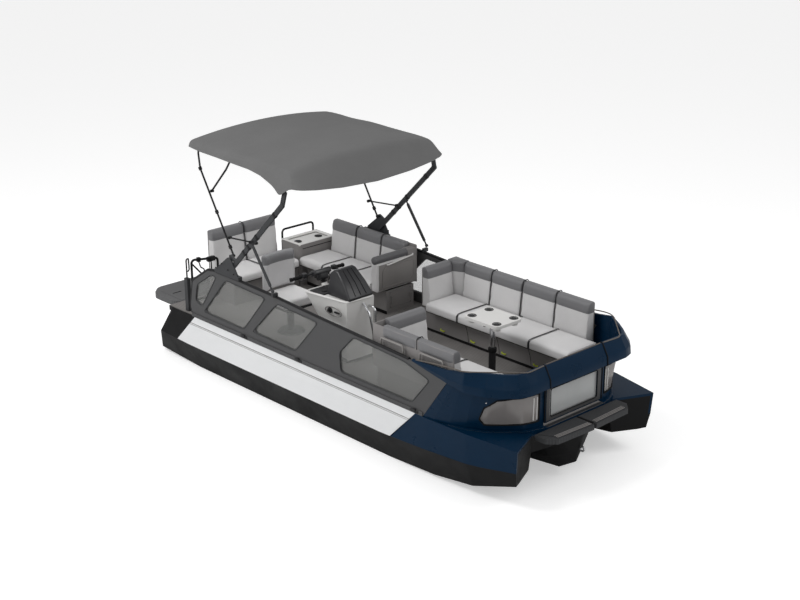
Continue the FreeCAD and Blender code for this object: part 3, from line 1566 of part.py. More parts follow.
def main_bow():
    """The main bow: deep arms from the rail to the knee and a round bow that joins them over the top."""
    start = main_point(0)
    knee = main_point(1)
    arm = side_slab(arm_outline(start, knee, arm_depth), main_lane - arm_width / 2,
                    main_lane + arm_width / 2)
    arm = arm.fuse(eye(start[0], main_lane, start[1], arm_width, arm_depth / 2))
    arm = arm.fuse(eye(knee[0], main_lane, knee[1], arm_width, arm_depth / 2))
    lug_start = rear_pivot()
    lug_end = main_point(lug_share)
    lug = arm_outline(lug_start, lug_end, lug_depth)
    arm = arm.fuse(side_slab(lug, main_lane - arm_width / 2, main_lane + arm_width / 2))
    arm = arm.fuse(eye(lug_start[0], main_lane, lug_start[1], arm_width, lug_depth / 2))
    body = arm.fuse(mirrored(arm))
    body = body.fuse(hoop([knee], main_lane, top_lean_share, -main_top_x, main_top_z, bow_radius))
    body = body.cut(pin_hole(*start))
    for side in (-1, 1):
        for place, lane in ((main_point(strut_share), strut_lane), (rear_pivot(), rear_lane)):
            outward = math.copysign(thin_radius, lane - main_lane)
            near = vec(place[0], main_lane * side, place[1])
            far = vec(place[0], (lane + outward) * side, place[1])
            body = body.fuse(round_bar(near, far, pin_radius))
    return body.removeSplitter()


def rear_pivot():
    return (-rear_pivot_x, rear_pivot_z)


def rear_point(share):
    return (-rear_pivot_x - (rear_top_x - rear_pivot_x) * share,
            rear_pivot_z + (rear_top_z - rear_pivot_z) * share)


def hoop(points, lane, lean, top_x, top_z, radius):
    """A round bar that runs up one side, over the top with a slight crown, and down the other side."""
    side = [vec(x, lane, z) for x, z in points]
    side.append(vec(top_x, lane * lean, top_z - bow_drop))
    side.append(vec(top_x, lane * top_flat_share, top_z + top_crown))
    return bent_bar(side + [vec(p.x, -p.y, p.z) for p in reversed(side)], radius, bow_bend)


def knuckles(place, lane):
    knuckle = eye(place[0], lane, place[1], knuckle_width, knuckle_radius)
    return [knuckle, mirrored(knuckle)]


def rear_bow():
    start = rear_point(0)
    body = hoop([start, rear_point(rear_lean_share)], rear_lane, top_lean_share, -rear_top_x, rear_top_z,
                thin_radius)
    pins = []
    for share in (mid_pivot_share, link_share):
        place = rear_point(share)
        for side in (-1, 1):
            pins.append(round_bar(vec(place[0], rear_lane * side, place[1]),
                                  vec(place[0], (mid_lane - thin_radius) * side, place[1]), pin_radius))
    return body.fuse(knuckles(start, rear_lane) + pins).cut(pin_hole(*start))


def mid_bow():
    start = rear_point(mid_pivot_share)
    body = hoop([start, (-mid_knee_x, mid_knee_z)], mid_lane, 1, -mid_top_x, mid_top_z, thin_radius)
    return body.fuse(knuckles(start, mid_lane)).cut(pin_hole(*start))


def eyed_bar(start, tip, lane, radius):
    """A straight bar with a bored eye at its hinged end and a plain eye at its free end, on each side."""
    bar = round_bar(vec(start[0], lane, start[1]), vec(tip[0], lane, tip[1]), radius)
    eyes = [eye(place[0], lane, place[1], knuckle_width, knuckle_radius) for place in (start, tip)]
    bar = largest(bar.fuse(eyes).cut(pin_hole(*start)))
    return [bar, mirrored(bar)]


def front_struts():
    return eyed_bar(main_point(strut_share), (-strut_foot_x, strut_foot_z), strut_lane, strut_radius)


def spreader_links():
    return eyed_bar(rear_point(link_share), main_point(link_tip_share), mid_lane, link_radius)


def canopy():
    """The cloth top as one thin crowned sheet with side valances and a drooping front visor."""
    rings = []
    for station, drop_share in zip(canopy_station_shares, canopy_drop_shares):
        x = station * canopy_length - canopy_rear
        drop = drop_share * canopy_visor
        outer = []
        for index in range(canopy_columns + 1):
            share = index / canopy_columns * 2 - 1
            y = canopy_edge * share
            z = canopy_crown - drop - canopy_crown_rise * share * share
            outer.append(vec(x, y, z))
        inner = [vec(p.x, p.y * (1 - canopy_thickness / canopy_edge), p.z - canopy_thickness) for p in outer]
        hang = canopy_valance
        left = [vec(x, -canopy_edge, outer[0].z - hang), vec(x, inner[0].y, outer[0].z - hang)]
        right = [vec(x, inner[-1].y, outer[-1].z - hang), vec(x, canopy_edge, outer[-1].z - hang)]
        rings.append([left[0]] + outer + [right[1], right[0]] + list(reversed(inner)) + [left[1]])
    return ring_loft(rings)


def rails():
    rail = top_rail()
    return [rail, mirrored(rail)]


def sides(shape, name):
    return {name + "_port": shape, name + "_starboard": mirrored(shape)}


def build_all():
    core, panel, cap = sponson_pieces()
    nodes = {}
    nodes.update(sides(core, "sponson"))
    nodes.update(sides(panel, "side_panel"))
    nodes.update(sides(cap, "bow_cap"))
    nodes["center_hull"] = center_hull()
    nodes["deck"] = deck()
    nodes["front_step"] = front_step()
    nodes["swim_platform"] = swim_platform()
    nodes["engine_block"] = engine_block()
    nodes["jet_pump"] = jet_pump()
    nodes["impeller"] = impeller()
    nodes["jet_nozzle"] = jet_nozzle()
    nodes["reverse_bucket"] = reverse_bucket()
    nodes["intake_grate"] = intake_grate()
    nodes["bow_eye"] = bow_eye()
    nodes.update(sides(fence_frame(), "fence_frame"))
    nodes["fence_panes"] = fence_panes() + [mirrored(pane) for pane in fence_panes()]
    nodes["top_rails"] = rails()
    nodes["bow_fairing_port"] = bow_fairing(1)
    nodes["bow_fairing_starboard"] = mirrored(bow_fairing(-1))
    window = bow_window()
    nodes["bow_windows"] = [window, mirrored(window)]
    nodes["bow_gate_panel"] = bow_gate_panel()
    nodes["bow_gate_window"] = bow_gate_window()
    nodes["stern_gate_post"] = stern_gate_post()
    nodes["stern_gate"] = stern_gate()
    nodes["port_front_base"] = port_front_base()
    nodes["port_front_backrest"] = front_back(front_return_end, front_bench_rear)
    nodes["port_front_cushion"] = port_front_cushion()
    nodes["starboard_front_base"] = starboard_front_base()
    nodes["starboard_front_backrest"] = mirrored(front_back(starboard_return_end, starboard_bench_rear))
    nodes["starboard_front_cushion"] = starboard_front_cushion()
    nodes["backrest_handles"] = backrest_handles()
    nodes["mid_port_base"] = mid_port_base()
    nodes["mid_port_backrest"] = mid_port_backrest()
    nodes["mid_port_cushion"] = mid_port_cushion()
    nodes["storage_door"] = storage_door()
    nodes["stern_base"] = stern_base()
    nodes["stern_backrest"] = stern_backrest()
    nodes["stern_cushion"] = stern_cushion()
    nodes["corner_console"] = corner_console()
    nodes["grab_rail"] = grab_rail()
    nodes["helm_console"] = helm_console()
    nodes["windshield"] = windshield()
    nodes["helm_grab_rail"] = helm_grab_rail()
    nodes["handlebar"] = handlebar()
    nodes["chair_pedestal"] = chair_pedestal()
    nodes["captain_seat"] = captain_seat()
    nodes["captain_backrest"] = captain_backrest()
    nodes["table_top"] = table_top()
    nodes["table_pedestal"] = table_pedestal()
    nodes["bimini_brackets"] = bimini_brackets()
    nodes["main_bow"] = main_bow()
    nodes["rear_bow"] = rear_bow()
    nodes["mid_bow"] = mid_bow()
    nodes["front_struts"] = front_struts()
    nodes["spreader_links"] = spreader_links()
    nodes["canopy"] = canopy()
    return nodes


def main():
    os.makedirs("parts", exist_ok=True)
    for name, made in build_all().items():
        shape = Part.makeCompound(made) if isinstance(made, list) else made
        if not isinstance(made, list) and len(shape.Solids) == 1:
            shape = shape.Solids[0]
        shape.exportStep("parts/" + name + ".step")
        box = shape.BoundBox
        print(name, "valid" if shape.isValid() else "NOT VALID", len(shape.Solids), "solids",
              round(shape.Volume / 1e6, 2), "litres",
              [round(v) for v in (box.XMin, box.XMax, box.YMin, box.YMax, box.ZMin, box.ZMax)])


main()
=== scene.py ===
# %% [markdown]
# # A pontoon boat, dressed around its frame
# The boat stands on three floats: two outer ones and a centre hull with the jet drive.
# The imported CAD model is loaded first. It fixes every size and place, and each piece
# that is made here goes where the frame says. Lengths are in metres, +X is the bow,
# +Y is port and +Z is up.

# %% Load the frame
import math
import bpy
from mathutils import Matrix, Vector
from mathutils.bvhtree import BVHTree


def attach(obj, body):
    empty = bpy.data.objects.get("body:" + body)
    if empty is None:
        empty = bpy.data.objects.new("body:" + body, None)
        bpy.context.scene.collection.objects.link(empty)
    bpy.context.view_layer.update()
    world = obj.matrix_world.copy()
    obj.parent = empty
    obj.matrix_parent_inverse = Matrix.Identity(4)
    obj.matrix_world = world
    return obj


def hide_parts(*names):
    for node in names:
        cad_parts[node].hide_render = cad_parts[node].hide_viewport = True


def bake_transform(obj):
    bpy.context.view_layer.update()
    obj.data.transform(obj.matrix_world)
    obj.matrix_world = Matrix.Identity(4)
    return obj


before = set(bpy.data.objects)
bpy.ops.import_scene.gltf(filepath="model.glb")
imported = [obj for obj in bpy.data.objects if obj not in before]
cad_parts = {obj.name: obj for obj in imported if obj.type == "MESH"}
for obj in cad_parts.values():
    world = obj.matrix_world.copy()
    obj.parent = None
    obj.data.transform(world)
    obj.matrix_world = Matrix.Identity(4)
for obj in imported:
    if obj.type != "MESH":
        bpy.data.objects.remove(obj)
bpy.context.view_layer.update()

scene = bpy.context.scene
both_sides = ((-1, "Starboard"), (1, "Port"))

# %% [markdown]
# ## Colours
# Paint colours are easy to read as the three numbers of a screen, from 0 to 255. The
# shader wants linear light. Linear numbers could be typed, but nobody reads a colour from
# them, so one helper turns the first kind into the second by the screen's own rule.

# %% Colour helper
def paint(red, green, blue):
    linear = []
    for level in (red, green, blue):
        share = level / 255
        linear.append(share / 12.92 if share <= 0.04045 else ((share + 0.055) / 1.055) ** 2.4)
    return linear


print("a middle grey in linear light", round(paint(128, 128, 128)[0], 3))

# %% [markdown]
# ## One finish for every smooth surface
# Gelcoat, powder coat, moulded plastic and cast metal all share the same build: a colour
# that drifts a little, a roughness that drifts with it, and a fine bump. Each could be a
# picture laid over the piece, but a pattern of nodes has no seams and no fixed size. It
# reads Object coordinates, so it stays where it is when the piece moves.

# %% Node helpers
def link(tree, source, output, target, entry):
    tree.links.new(source.outputs[output], target.inputs[entry])


def node(tree, kind, **values):
    """A new node: each value goes to the setting of that name, or else to the input."""
    made = tree.nodes.new(kind)
    for key, value in values.items():
        if hasattr(made, key):
            setattr(made, key, value)
        else:
            made.inputs[key.replace("_", " ")].default_value = value
    return made


def pattern(tree, place, kind, **values):
    """A node that reads the piece's own Object coordinates."""
    made = node(tree, kind, **values)
    link(tree, place, "Object", made, "Vector")
    return made


def bump_from(tree, source, output, shader, strength, distance):
    bump = node(tree, "ShaderNodeBump", Strength=strength, Distance=distance)
    link(tree, source, output, bump, "Height")
    link(tree, bump, "Normal", shader, "Normal")


# %% Finish builder
coat_roughness = 0.08
drift_stops = (0.32, 0.70)
noise_low = 0.3
noise_high = 0.7


def start_finish(name, metallic=0.0, coat=0.0, sheen=0.0, shine=0.5):
    material = bpy.data.materials.new(name)
    material.use_nodes = True
    tree = material.node_tree
    shader = tree.nodes["Principled BSDF"]
    sockets = {"Metallic": metallic, "Coat Weight": coat, "Coat Roughness": coat_roughness,
               "Sheen Weight": sheen, "Specular IOR Level": shine}
    for socket, value in sockets.items():
        shader.inputs[socket].default_value = value
    return material, tree, shader, node(tree, "ShaderNodeTexCoord")


def drift(tree, place, color, amount, scale):
    """A colour that wanders by a small amount over the piece."""
    cloud = pattern(tree, place, "ShaderNodeTexNoise", Scale=scale, Detail=4.0, Roughness=0.6)
    ramp = node(tree, "ShaderNodeValToRGB")
    for stop, position, gain in zip(ramp.color_ramp.elements, drift_stops, (1 - amount, 1 + amount)):
        stop.position = position
        stop.color = (*[min(1, part * gain) for part in paint(*color)], 1)
    link(tree, cloud, "Fac", ramp, "Fac")
    return ramp, cloud


def rough_drift(tree, cloud, shader, low, high):
    spread = node(tree, "ShaderNodeMapRange", From_Min=noise_low, From_Max=noise_high,
                  To_Min=low, To_Max=high)
    link(tree, cloud, "Fac", spread, "Value")
    link(tree, spread, "Result", shader, "Roughness")


# %% Smooth coatings
cloud_scale = 3.0
smoother = 0.85
rougher = 1.2
grain_depth = 0.002


def coating(name, color, rough, metallic=0.0, coat=0.0, amount=0.05, grain=350.0, strength=0.05, shine=0.5):
    material, tree, shader, place = start_finish(name, metallic, coat, shine=shine)
    ramp, cloud = drift(tree, place, color, amount, cloud_scale)
    link(tree, ramp, "Color", shader, "Base Color")
    rough_drift(tree, cloud, shader, rough * smoother, min(1, rough * rougher))
    fine = pattern(tree, place, "ShaderNodeTexNoise", Scale=grain, Detail=2.0)
    bump_from(tree, fine, "Fac", shader, strength, grain_depth)
    return material


# %% [markdown]
# ## The boat's hard finishes
# The white gelcoat lies under a clear coat. The navy one is dark and mirrors little, and
# the lower hull is a satin black plastic shell. Rails and frames are powder coated, which
# shows as a fine orange peel. Painting each by itself would take a page of nodes a piece,
# and they differ only in colour, roughness and grain, so one builder makes them all.

# %% Hull and rail finishes
gelcoat_white = coating("gelcoat_white", (217, 218, 219), 0.36, coat=0.3, amount=0.015, strength=0.02)
gelcoat_navy = coating("gelcoat_navy", (3, 33, 56), 0.30, amount=0.06, strength=0.03, shine=0.12)
hull_black = coating("hull_black", (14, 14, 15), 0.50, amount=0.10, grain=220.0, strength=0.10, shine=0.15)
rail_black = coating("rail_black", (16, 16, 18), 0.45, amount=0.08, grain=500.0, strength=0.12, shine=0.25)
fence_grey = coating("fence_grey", (70, 70, 71), 0.52, grain=500.0, strength=0.14, shine=0.3)
bow_grey = coating("bow_grey", (50, 51, 53), 0.50, amount=0.06, grain=500.0, strength=0.14, shine=0.3)
lip_brown = coating("lip_brown", (96, 90, 85), 0.55, strength=0.08, shine=0.3)
trim_grey = coating("trim_grey", (128, 125, 123), 0.5, grain=400.0, strength=0.12)
jet_metal = coating("jet_metal", (150, 152, 154), 0.42, metallic=0.9, amount=0.10, grain=160.0, strength=0.20)
steel = coating("steel", (205, 206, 208), 0.16, metallic=1.0, amount=0.03, strength=0.02)
engine_mass = coating("engine_mass", (48, 48, 50), 0.6, amount=0.12, strength=0.25)
print("hull and rail finishes", len(bpy.data.materials))

# %% Moulded finishes
moulded_white = coating("moulded_white", (212, 211, 209), 0.36, coat=0.2, amount=0.02, strength=0.04)
moulded_grey = coating("moulded_grey", (124, 121, 120), 0.55, amount=0.06, grain=600.0, strength=0.18)
moulded_dark = coating("moulded_dark", (30, 30, 32), 0.50, amount=0.08, grain=600.0, strength=0.18, shine=0.3)
hood_black = coating("hood_black", (30, 30, 33), 0.38, coat=0.10, amount=0.08, grain=500.0, strength=0.08)
rubber_black = coating("rubber_black", (16, 16, 17), 0.75, amount=0.10, grain=300.0, strength=0.20, shine=0.2)
tab_lime = coating("tab_lime", (178, 190, 40), 0.6, grain=900.0, strength=0.3)
piping = coating("piping", (50, 50, 52), 0.6, grain=700.0, strength=0.15)
print("hard finishes", len(bpy.data.materials))

# %% [markdown]
# ## Tinted panes
# The side windows are thin smoked plastic that shows the deck behind. The panes of the bow
# and the gate are nearly opaque. Real glass with refraction would be slow and noisy, and
# an exported model loses it, so each pane is a glossy body colour that is partly see-through.

# %% Panes
pane_coat = 0.3
pane_drift = 0.10
pane_cloud = 1.6
pane_rougher = 1.6


def pane_finish(name, color, alpha, rough):
    material, tree, shader, place = start_finish(name, coat=pane_coat)
    ramp, cloud = drift(tree, place, color, pane_drift, pane_cloud)
    link(tree, ramp, "Color", shader, "Base Color")
    rough_drift(tree, cloud, shader, rough, rough * pane_rougher)
    shader.inputs["Alpha"].default_value = alpha
    return material


tinted_pane = pane_finish("tinted_pane", (128, 129, 127), 0.33, 0.14)
bow_pane = pane_finish("bow_pane", (132, 128, 126), 0.80, 0.14)
gate_pane = pane_finish("gate_pane", (166, 168, 168), 0.92, 0.24)
gauge_glass = pane_finish("gauge_glass", (14, 16, 20), 1.0, 0.05)
print("finishes so far", len(bpy.data.materials))

# %% [markdown]
# ## Mats with ribs
# The deck mat and the step pads are rubber with fine ribs. Modelled ribs would cost
# thousands of faces for a relief of three millimetres, so a wave texture gives them as a
# bump, and it also darkens the valleys between them as painted shade. A noise over it
# gives the trodden, dusty look.

# %% Ribbed mats
wave_step = 0.314
rib_painted_shade = 0.28
rib_bump = 0.45


def ribbed_mat(name, color, spacing, direction, depth):
    material, tree, shader, place = start_finish(name)
    ramp, cloud = drift(tree, place, color, 0.09, 5.0)
    ribs = pattern(tree, place, "ShaderNodeTexWave", Scale=wave_step / spacing, bands_direction=direction)
    # Multiplying by the wave darkens the valleys between the ribs: this is painted shade.
    dark = node(tree, "ShaderNodeMixRGB", blend_type="MULTIPLY", Fac=rib_painted_shade)
    link(tree, ramp, "Color", dark, "Color1")
    link(tree, ribs, "Color", dark, "Color2")
    link(tree, dark, "Color", shader, "Base Color")
    rough_drift(tree, cloud, shader, 0.72, 0.92)
    bump_from(tree, ribs, "Fac", shader, rib_bump, depth)
    return material


deck_mat = ribbed_mat("deck_mat", (126, 123, 121), 0.030, "Y", 0.003)
step_pad = ribbed_mat("step_pad", (56, 57, 59), 0.022, "Y", 0.004)
platform_pad = ribbed_mat("platform_pad", (98, 98, 99), 0.026, "X", 0.003)
print("mats", deck_mat.name, step_pad.name, platform_pad.name)

# %% [markdown]
# ## Marine vinyl
# The upholstery is a coated cloth with a pebbled grain. Cells of a Voronoi texture about a
# millimetre wide give the grain, and a slow noise gives the stretch marks. The backrests
# are light below and dark above a seam. They could be cut into two pieces there, but one
# piece that changes its colour by height keeps the pad's skin whole.

# %% Vinyl finishes
vinyl_sheen = 0.08
vinyl_rough = 0.46
pebble_scale = 620.0
pebble_share = 0.25


def vinyl(name, color, upper=None, split=0.0):
    material, tree, shader, place = start_finish(name, sheen=vinyl_sheen)
    final, cloud = drift(tree, place, color, 0.035, 4.0)
    if upper:
        high = drift(tree, place, upper, 0.05, 4.0)[0]
        axes = pattern(tree, place, "ShaderNodeSeparateXYZ")
        above = node(tree, "ShaderNodeMath", operation="GREATER_THAN")
        above.inputs[1].default_value = split
        link(tree, axes, "Z", above, 0)
        mixed = node(tree, "ShaderNodeMixRGB")
        link(tree, above, "Value", mixed, "Fac")
        link(tree, final, "Color", mixed, "Color1")
        link(tree, high, "Color", mixed, "Color2")
        final = mixed
    link(tree, final, "Color", shader, "Base Color")
    rough_drift(tree, cloud, shader, vinyl_rough * 0.9, vinyl_rough * rougher)
    pebbles = pattern(tree, place, "ShaderNodeTexVoronoi", Scale=pebble_scale)
    creases = pattern(tree, place, "ShaderNodeTexNoise", Scale=16.0, Detail=5.0)
    both = node(tree, "ShaderNodeMath", operation="MULTIPLY_ADD")
    both.inputs[1].default_value = pebble_share
    link(tree, pebbles, "Distance", both, 0)
    link(tree, creases, "Fac", both, 2)
    bump_from(tree, both, "Value", shader, 0.16, 0.004)
    return material


# %% The boat's vinyls
light_tone = (203, 202, 202)
dark_tone = (106, 106, 108)
bench_split = 1.315
stern_split = 1.385
seat_vinyl = vinyl("seat_vinyl", light_tone)
back_vinyl = vinyl("back_vinyl", light_tone, dark_tone, bench_split)
stern_vinyl = vinyl("stern_vinyl", light_tone, dark_tone, stern_split)
chair_vinyl = vinyl("chair_vinyl", (190, 189, 190), dark_tone, 1.47)
roll_vinyl = vinyl("roll_vinyl", (86, 86, 88))
print("finishes so far", len(bpy.data.materials))

# %% [markdown]
# ## Canvas
# The sun top is a woven acrylic cloth. A weave could be modelled thread by thread or read
# from a picture. Two sets of fine waves at right angles, multiplied, look the same from a
# step away, and a slow noise fades the cloth a little, as sun does.

# %% Canvas finish
thread_scale = 160.0
weave_shade = 0.14


def canvas(name, color):
    material, tree, shader, place = start_finish(name, sheen=0.03, shine=0.2)
    ramp, cloud = drift(tree, place, color, 0.05, 2.2)
    warp = pattern(tree, place, "ShaderNodeTexWave", Scale=thread_scale)
    weft = pattern(tree, place, "ShaderNodeTexWave", Scale=thread_scale, bands_direction="Y")
    weave = node(tree, "ShaderNodeMath", operation="MULTIPLY")
    link(tree, warp, "Fac", weave, 0)
    link(tree, weft, "Fac", weave, 1)
    tone = node(tree, "ShaderNodeMixRGB", blend_type="MULTIPLY", Fac=weave_shade)
    link(tree, ramp, "Color", tone, "Color1")
    link(tree, weave, "Value", tone, "Color2")
    link(tree, tone, "Color", shader, "Base Color")
    rough_drift(tree, cloud, shader, 0.82, 0.95)
    bump_from(tree, weave, "Value", shader, 0.35, 0.001)
    return material


canopy_cloth = canvas("canopy_cloth", (109, 109, 109))
print("all finishes", len(bpy.data.materials))

# %% [markdown]
# ## Dress the CAD nodes
# Most of the boat's hard parts have the right shape already. They could be modelled again,
# but that would gain nothing, so they keep their meshes and only get a finish. One table
# says which nodes wear which finish.

# %% Finishes on the nodes
nodes_of = (
    (hull_black, "sponson_port sponson_starboard center_hull"),
    (gelcoat_white, "side_panel_port side_panel_starboard"),
    (gelcoat_navy, "bow_cap_port bow_cap_starboard bow_fairing_port bow_fairing_starboard bow_gate_panel"),
    (deck_mat, "deck"), (step_pad, "front_step"), (platform_pad, "swim_platform"),
    (engine_mass, "engine_block"),
    (jet_metal, "jet_pump intake_grate jet_nozzle reverse_bucket"),
    (steel, "impeller bow_eye helm_grab_rail"),
    (fence_grey, "fence_frame_port fence_frame_starboard"),
    (tinted_pane, "fence_panes"), (bow_pane, "bow_windows"), (gate_pane, "bow_gate_window"),
    (rail_black, "top_rails stern_gate grab_rail rear_bow mid_bow spreader_links"),
    (bow_grey, "stern_gate_post bimini_brackets main_bow front_struts"),
    (moulded_grey, "port_front_base starboard_front_base mid_port_base stern_base"),
    (moulded_grey, "storage_door corner_console"),
    (moulded_white, "helm_console table_top"),
    (moulded_dark, "handlebar chair_pedestal table_pedestal"),
    (trim_grey, "backrest_handles"), (hood_black, "windshield"), (canopy_cloth, "canopy"),
    (back_vinyl, "port_front_backrest starboard_front_backrest mid_port_backrest"),
    (stern_vinyl, "stern_backrest"), (chair_vinyl, "captain_backrest"),
    (seat_vinyl, "port_front_cushion starboard_front_cushion mid_port_cushion stern_cushion captain_seat"),
)
finish_of = {name: finish for finish, names in nodes_of for name in names.split()}
for name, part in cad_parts.items():
    for slot in part.material_slots:
        slot.material = finish_of[name]
print("dressed", len(finish_of), "nodes")

# %% [markdown]
# ## Small workshop
# These helpers model by operators, as one would by hand: add a primitive, shape it in edit
# mode, apply its modifiers, and put its place into its mesh. Points could be typed into a
# mesh instead, but operators round, extrude and join without counting corners. Everything
# is deselected before each step, because an operator acts on all that is selected.

# %% Selection, naming and modifiers
crease_angle = math.radians(35)


def clear():
    bpy.ops.object.select_all(action="DESELECT")


def only(piece):
    clear()
    piece.select_set(True)
    bpy.context.view_layer.objects.active = piece


def apply_place():
    bpy.ops.object.transform_apply(location=True, rotation=True, scale=True)


def settle(piece, name, finish, body="hull"):
    """Names a piece, applies its place and hangs it on its body. The frame has materials of the
    same names, so Blender numbers the new ones, and the slot's name is what stands before the dot."""
    only(piece)
    apply_place()
    piece.name = name
    piece.data.name = name
    piece.data.materials.clear()
    piece.data.materials.append(finish)
    bpy.ops.object.shade_smooth_by_angle(angle=crease_angle)
    if body:
        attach(piece, body)
    print(name, len(piece.data.polygons), "faces")
    return piece


def apply_modifier(piece, kind, **values):
    only(piece)
    made = piece.modifiers.new(kind.lower(), kind)
    for key, value in values.items():
        setattr(made, key, value)
    bpy.ops.object.modifier_apply(modifier=made.name)


def join(pieces):
    clear()
    for piece in pieces:
        piece.select_set(True)
    bpy.context.view_layer.objects.active = pieces[0]
    if len(pieces) > 1:
        bpy.ops.object.join()
    return pieces[0]


# %% Blocks and discs
def block(low, high, round_edge=0.0, segments=2):
    """A box between two corners, its edges rounded."""
    clear()
    middle = [(a + b) / 2 for a, b in zip(low, high)]
    bpy.ops.mesh.primitive_cube_add(size=1, location=middle)
    piece = bpy.context.object
    piece.scale = [abs(b - a) for a, b in zip(low, high)]
    apply_place()
    if round_edge:
        apply_modifier(piece, "BEVEL", width=round_edge, segments=segments, limit_method="NONE")
    return piece


def disc(center, radius, length, axis="Z", round_edge=0.0, vertices=28):
    """A round plate or pin whose axis is X, Y or Z."""
    clear()
    turn = {"X": (0, math.pi / 2, 0), "Y": (math.pi / 2, 0, 0), "Z": (0, 0, 0)}[axis]
    bpy.ops.mesh.primitive_cylinder_add(radius=radius, depth=length, location=center, rotation=turn,
                                        vertices=vertices)
    piece = bpy.context.object
    apply_place()
    if round_edge:
        apply_modifier(piece, "BEVEL", width=round_edge, segments=2, limit_method="ANGLE")
    return piece


# %% Plates and frames
plate_edge_angle = math.radians(50)


def push_out(push):
    """In edit mode: pushes all faces along a vector, and turns the normals outwards."""
    bpy.ops.mesh.select_all(action="SELECT")
    bpy.ops.mesh.extrude_region_move(TRANSFORM_OT_translate={"value": push})
    bpy.ops.mesh.select_all(action="SELECT")
    bpy.ops.mesh.normals_make_consistent(inside=False)
    bpy.ops.object.mode_set(mode="OBJECT")


def plate(outline, push, round_edge=0.0):
    """A flat outline of points in space, filled and pushed out along a vector."""
    clear()
    bpy.ops.mesh.primitive_circle_add(vertices=len(outline), radius=1, fill_type="NGON")
    piece = bpy.context.object
    for vertex, point in zip(piece.data.vertices, outline):
        vertex.co = point
    bpy.ops.object.mode_set(mode="EDIT")
    push_out(push)
    if round_edge:
        apply_modifier(piece, "BEVEL", width=round_edge, segments=2, limit_method="ANGLE",
                       angle_limit=plate_edge_angle)
    return piece


def open_frame(middle, span, width, push, turn=(0, 0, 0)):
    """A flat frame: a plane is inset, its middle is taken out, and the rest is pushed out."""
    clear()
    bpy.ops.mesh.primitive_plane_add(size=1, location=middle, rotation=turn)
    piece = bpy.context.object
    piece.scale = (*span, 1)
    apply_place()
    bpy.ops.object.mode_set(mode="EDIT")
    bpy.ops.mesh.select_all(action="SELECT")
    bpy.ops.mesh.inset(thickness=width, depth=0)
    bpy.ops.mesh.delete(type="FACE")
    push_out(push)
    return piece


# %% Bars and beads
arc_steps = 4
reach_limit = 0.45


def corner_points(points, bend, closed=False):
    """The points of a bent bar's line, each corner turned into a short arc."""
    points = [Vector(p) for p in points]
    if bend <= 0:
        return points
    count = len(points)
    line = []
    for index, corner in enumerate(points):
        if not closed and index in (0, count - 1):
            line.append(corner)
            continue
        before = points[index - 1] - corner
        after = points[(index + 1) % count] - corner
        reach = min(bend, before.length * reach_limit, after.length * reach_limit)
        start = corner + before.normalized() * reach
        end = corner + after.normalized() * reach
        for step in range(arc_steps + 1):
            share = step / arc_steps
            line.append(start * (1 - share) ** 2 + corner * 2 * share * (1 - share) + end * share ** 2)
    return line


def bar(points, radius, bend=0.0, closed=False, sides=3):
    """A round bar or bead along a line of points."""
    clear()
    bpy.ops.curve.primitive_bezier_curve_add()
    piece = bpy.context.object
    curve = piece.data
    curve.splines.clear()
    line = corner_points(points, bend, closed)
    run = curve.splines.new("POLY")
    run.points.add(len(line) - 1)
    for point, place in zip(run.points, line):
        point.co = (*place, 1)
    run.use_cyclic_u = closed
    curve.bevel_depth = radius
    curve.bevel_resolution = sides
    curve.use_fill_caps = not closed
    only(piece)
    bpy.ops.object.convert(target="MESH")
    return bpy.context.object


def on_side(points, side):
    """Points given for port, moved to starboard where side is -1."""
    return [(x, y * side, z) for x, y, z in points]


# %% [markdown]
# ## Padded pieces
# Every pad starts as a closed prism with its real outline, a little undersized. A bevelled
# block would look like plastic, so the prism is remeshed into small even quads and blown up
# by a cloth simulation with air pressure inside, which pulls the sides in between the
# corners as stuffing does. Pads of one row are remeshed one by one, so that each keeps its
# own round edges, and a cap keeps each point close to where it began.

# %% Simulation
grain_size = 0.016
air_pressure = 4.0
last_frame = 14
relax = 0.5


def plump(piece, cap):
    start = [vertex.co.copy() for vertex in piece.data.vertices]
    only(piece)
    cloth = piece.modifiers.new("air", "CLOTH")
    cloth.settings.quality = 4
    cloth.settings.use_pressure = True
    cloth.settings.uniform_pressure_force = air_pressure
    cloth.settings.effector_weights.gravity = 0
    cloth.collision_settings.use_collision = False
    cloth.point_cache.frame_start = 1
    cloth.point_cache.frame_end = last_frame
    for frame_number in range(1, last_frame + 1):
        scene.frame_set(frame_number)
    bpy.ops.object.modifier_apply(modifier="air")
    moved = 0.0
    for vertex, origin in zip(piece.data.vertices, start):
        away = vertex.co - origin
        if away.length > cap:
            vertex.co = origin + away.normalized() * cap
        moved = max(moved, (vertex.co - origin).length)
    apply_modifier(piece, "SMOOTH", factor=relax, iterations=2)
    scene.frame_set(1)
    print("plumped", len(piece.data.vertices), "points, moved", round(moved, 4))
    return piece


# %% Padding helpers
pad_cap = 0.006
back_cap = 0.005
chair_cap = 0.012
welt_radius = 0.0055
welt_proud = 1.012


def prism(profile, axis, start, end):
    """A closed prism: a profile of (side, height) pairs pushed along X or Y."""
    if axis == "X":
        return plate([(start, side, height) for side, height in profile], (end - start, 0, 0))
    return plate([(side, start, height) for side, height in profile], (0, end - start, 0))


def welts(name, profile, axis, places, body):
    """Dark piping in the joints between pads, laid just proud of the section's own line."""
    middle_side = sum(side for side, height in profile) / len(profile)
    middle_height = sum(height for side, height in profile) / len(profile)
    line = [(middle_side + (side - middle_side) * welt_proud,
             middle_height + (height - middle_height) * welt_proud) for side, height in profile]
    beads = []
    for place in places:
        ring = [(place, side, height) if axis == "X" else (side, place, height) for side, height in line]
        beads.append(bar(ring, welt_radius, closed=True))
    settle(join(beads), name, piping, body)


def upholster(name, pads, finish, body, nodes, cap):
    for pad in pads:
        apply_modifier(pad, "REMESH", mode="VOXEL", voxel_size=grain_size)
    piece = settle(plump(join(pads), cap), name, finish, body)
    only(piece)
    bpy.ops.object.shade_smooth()
    if nodes:
        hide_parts(*nodes)


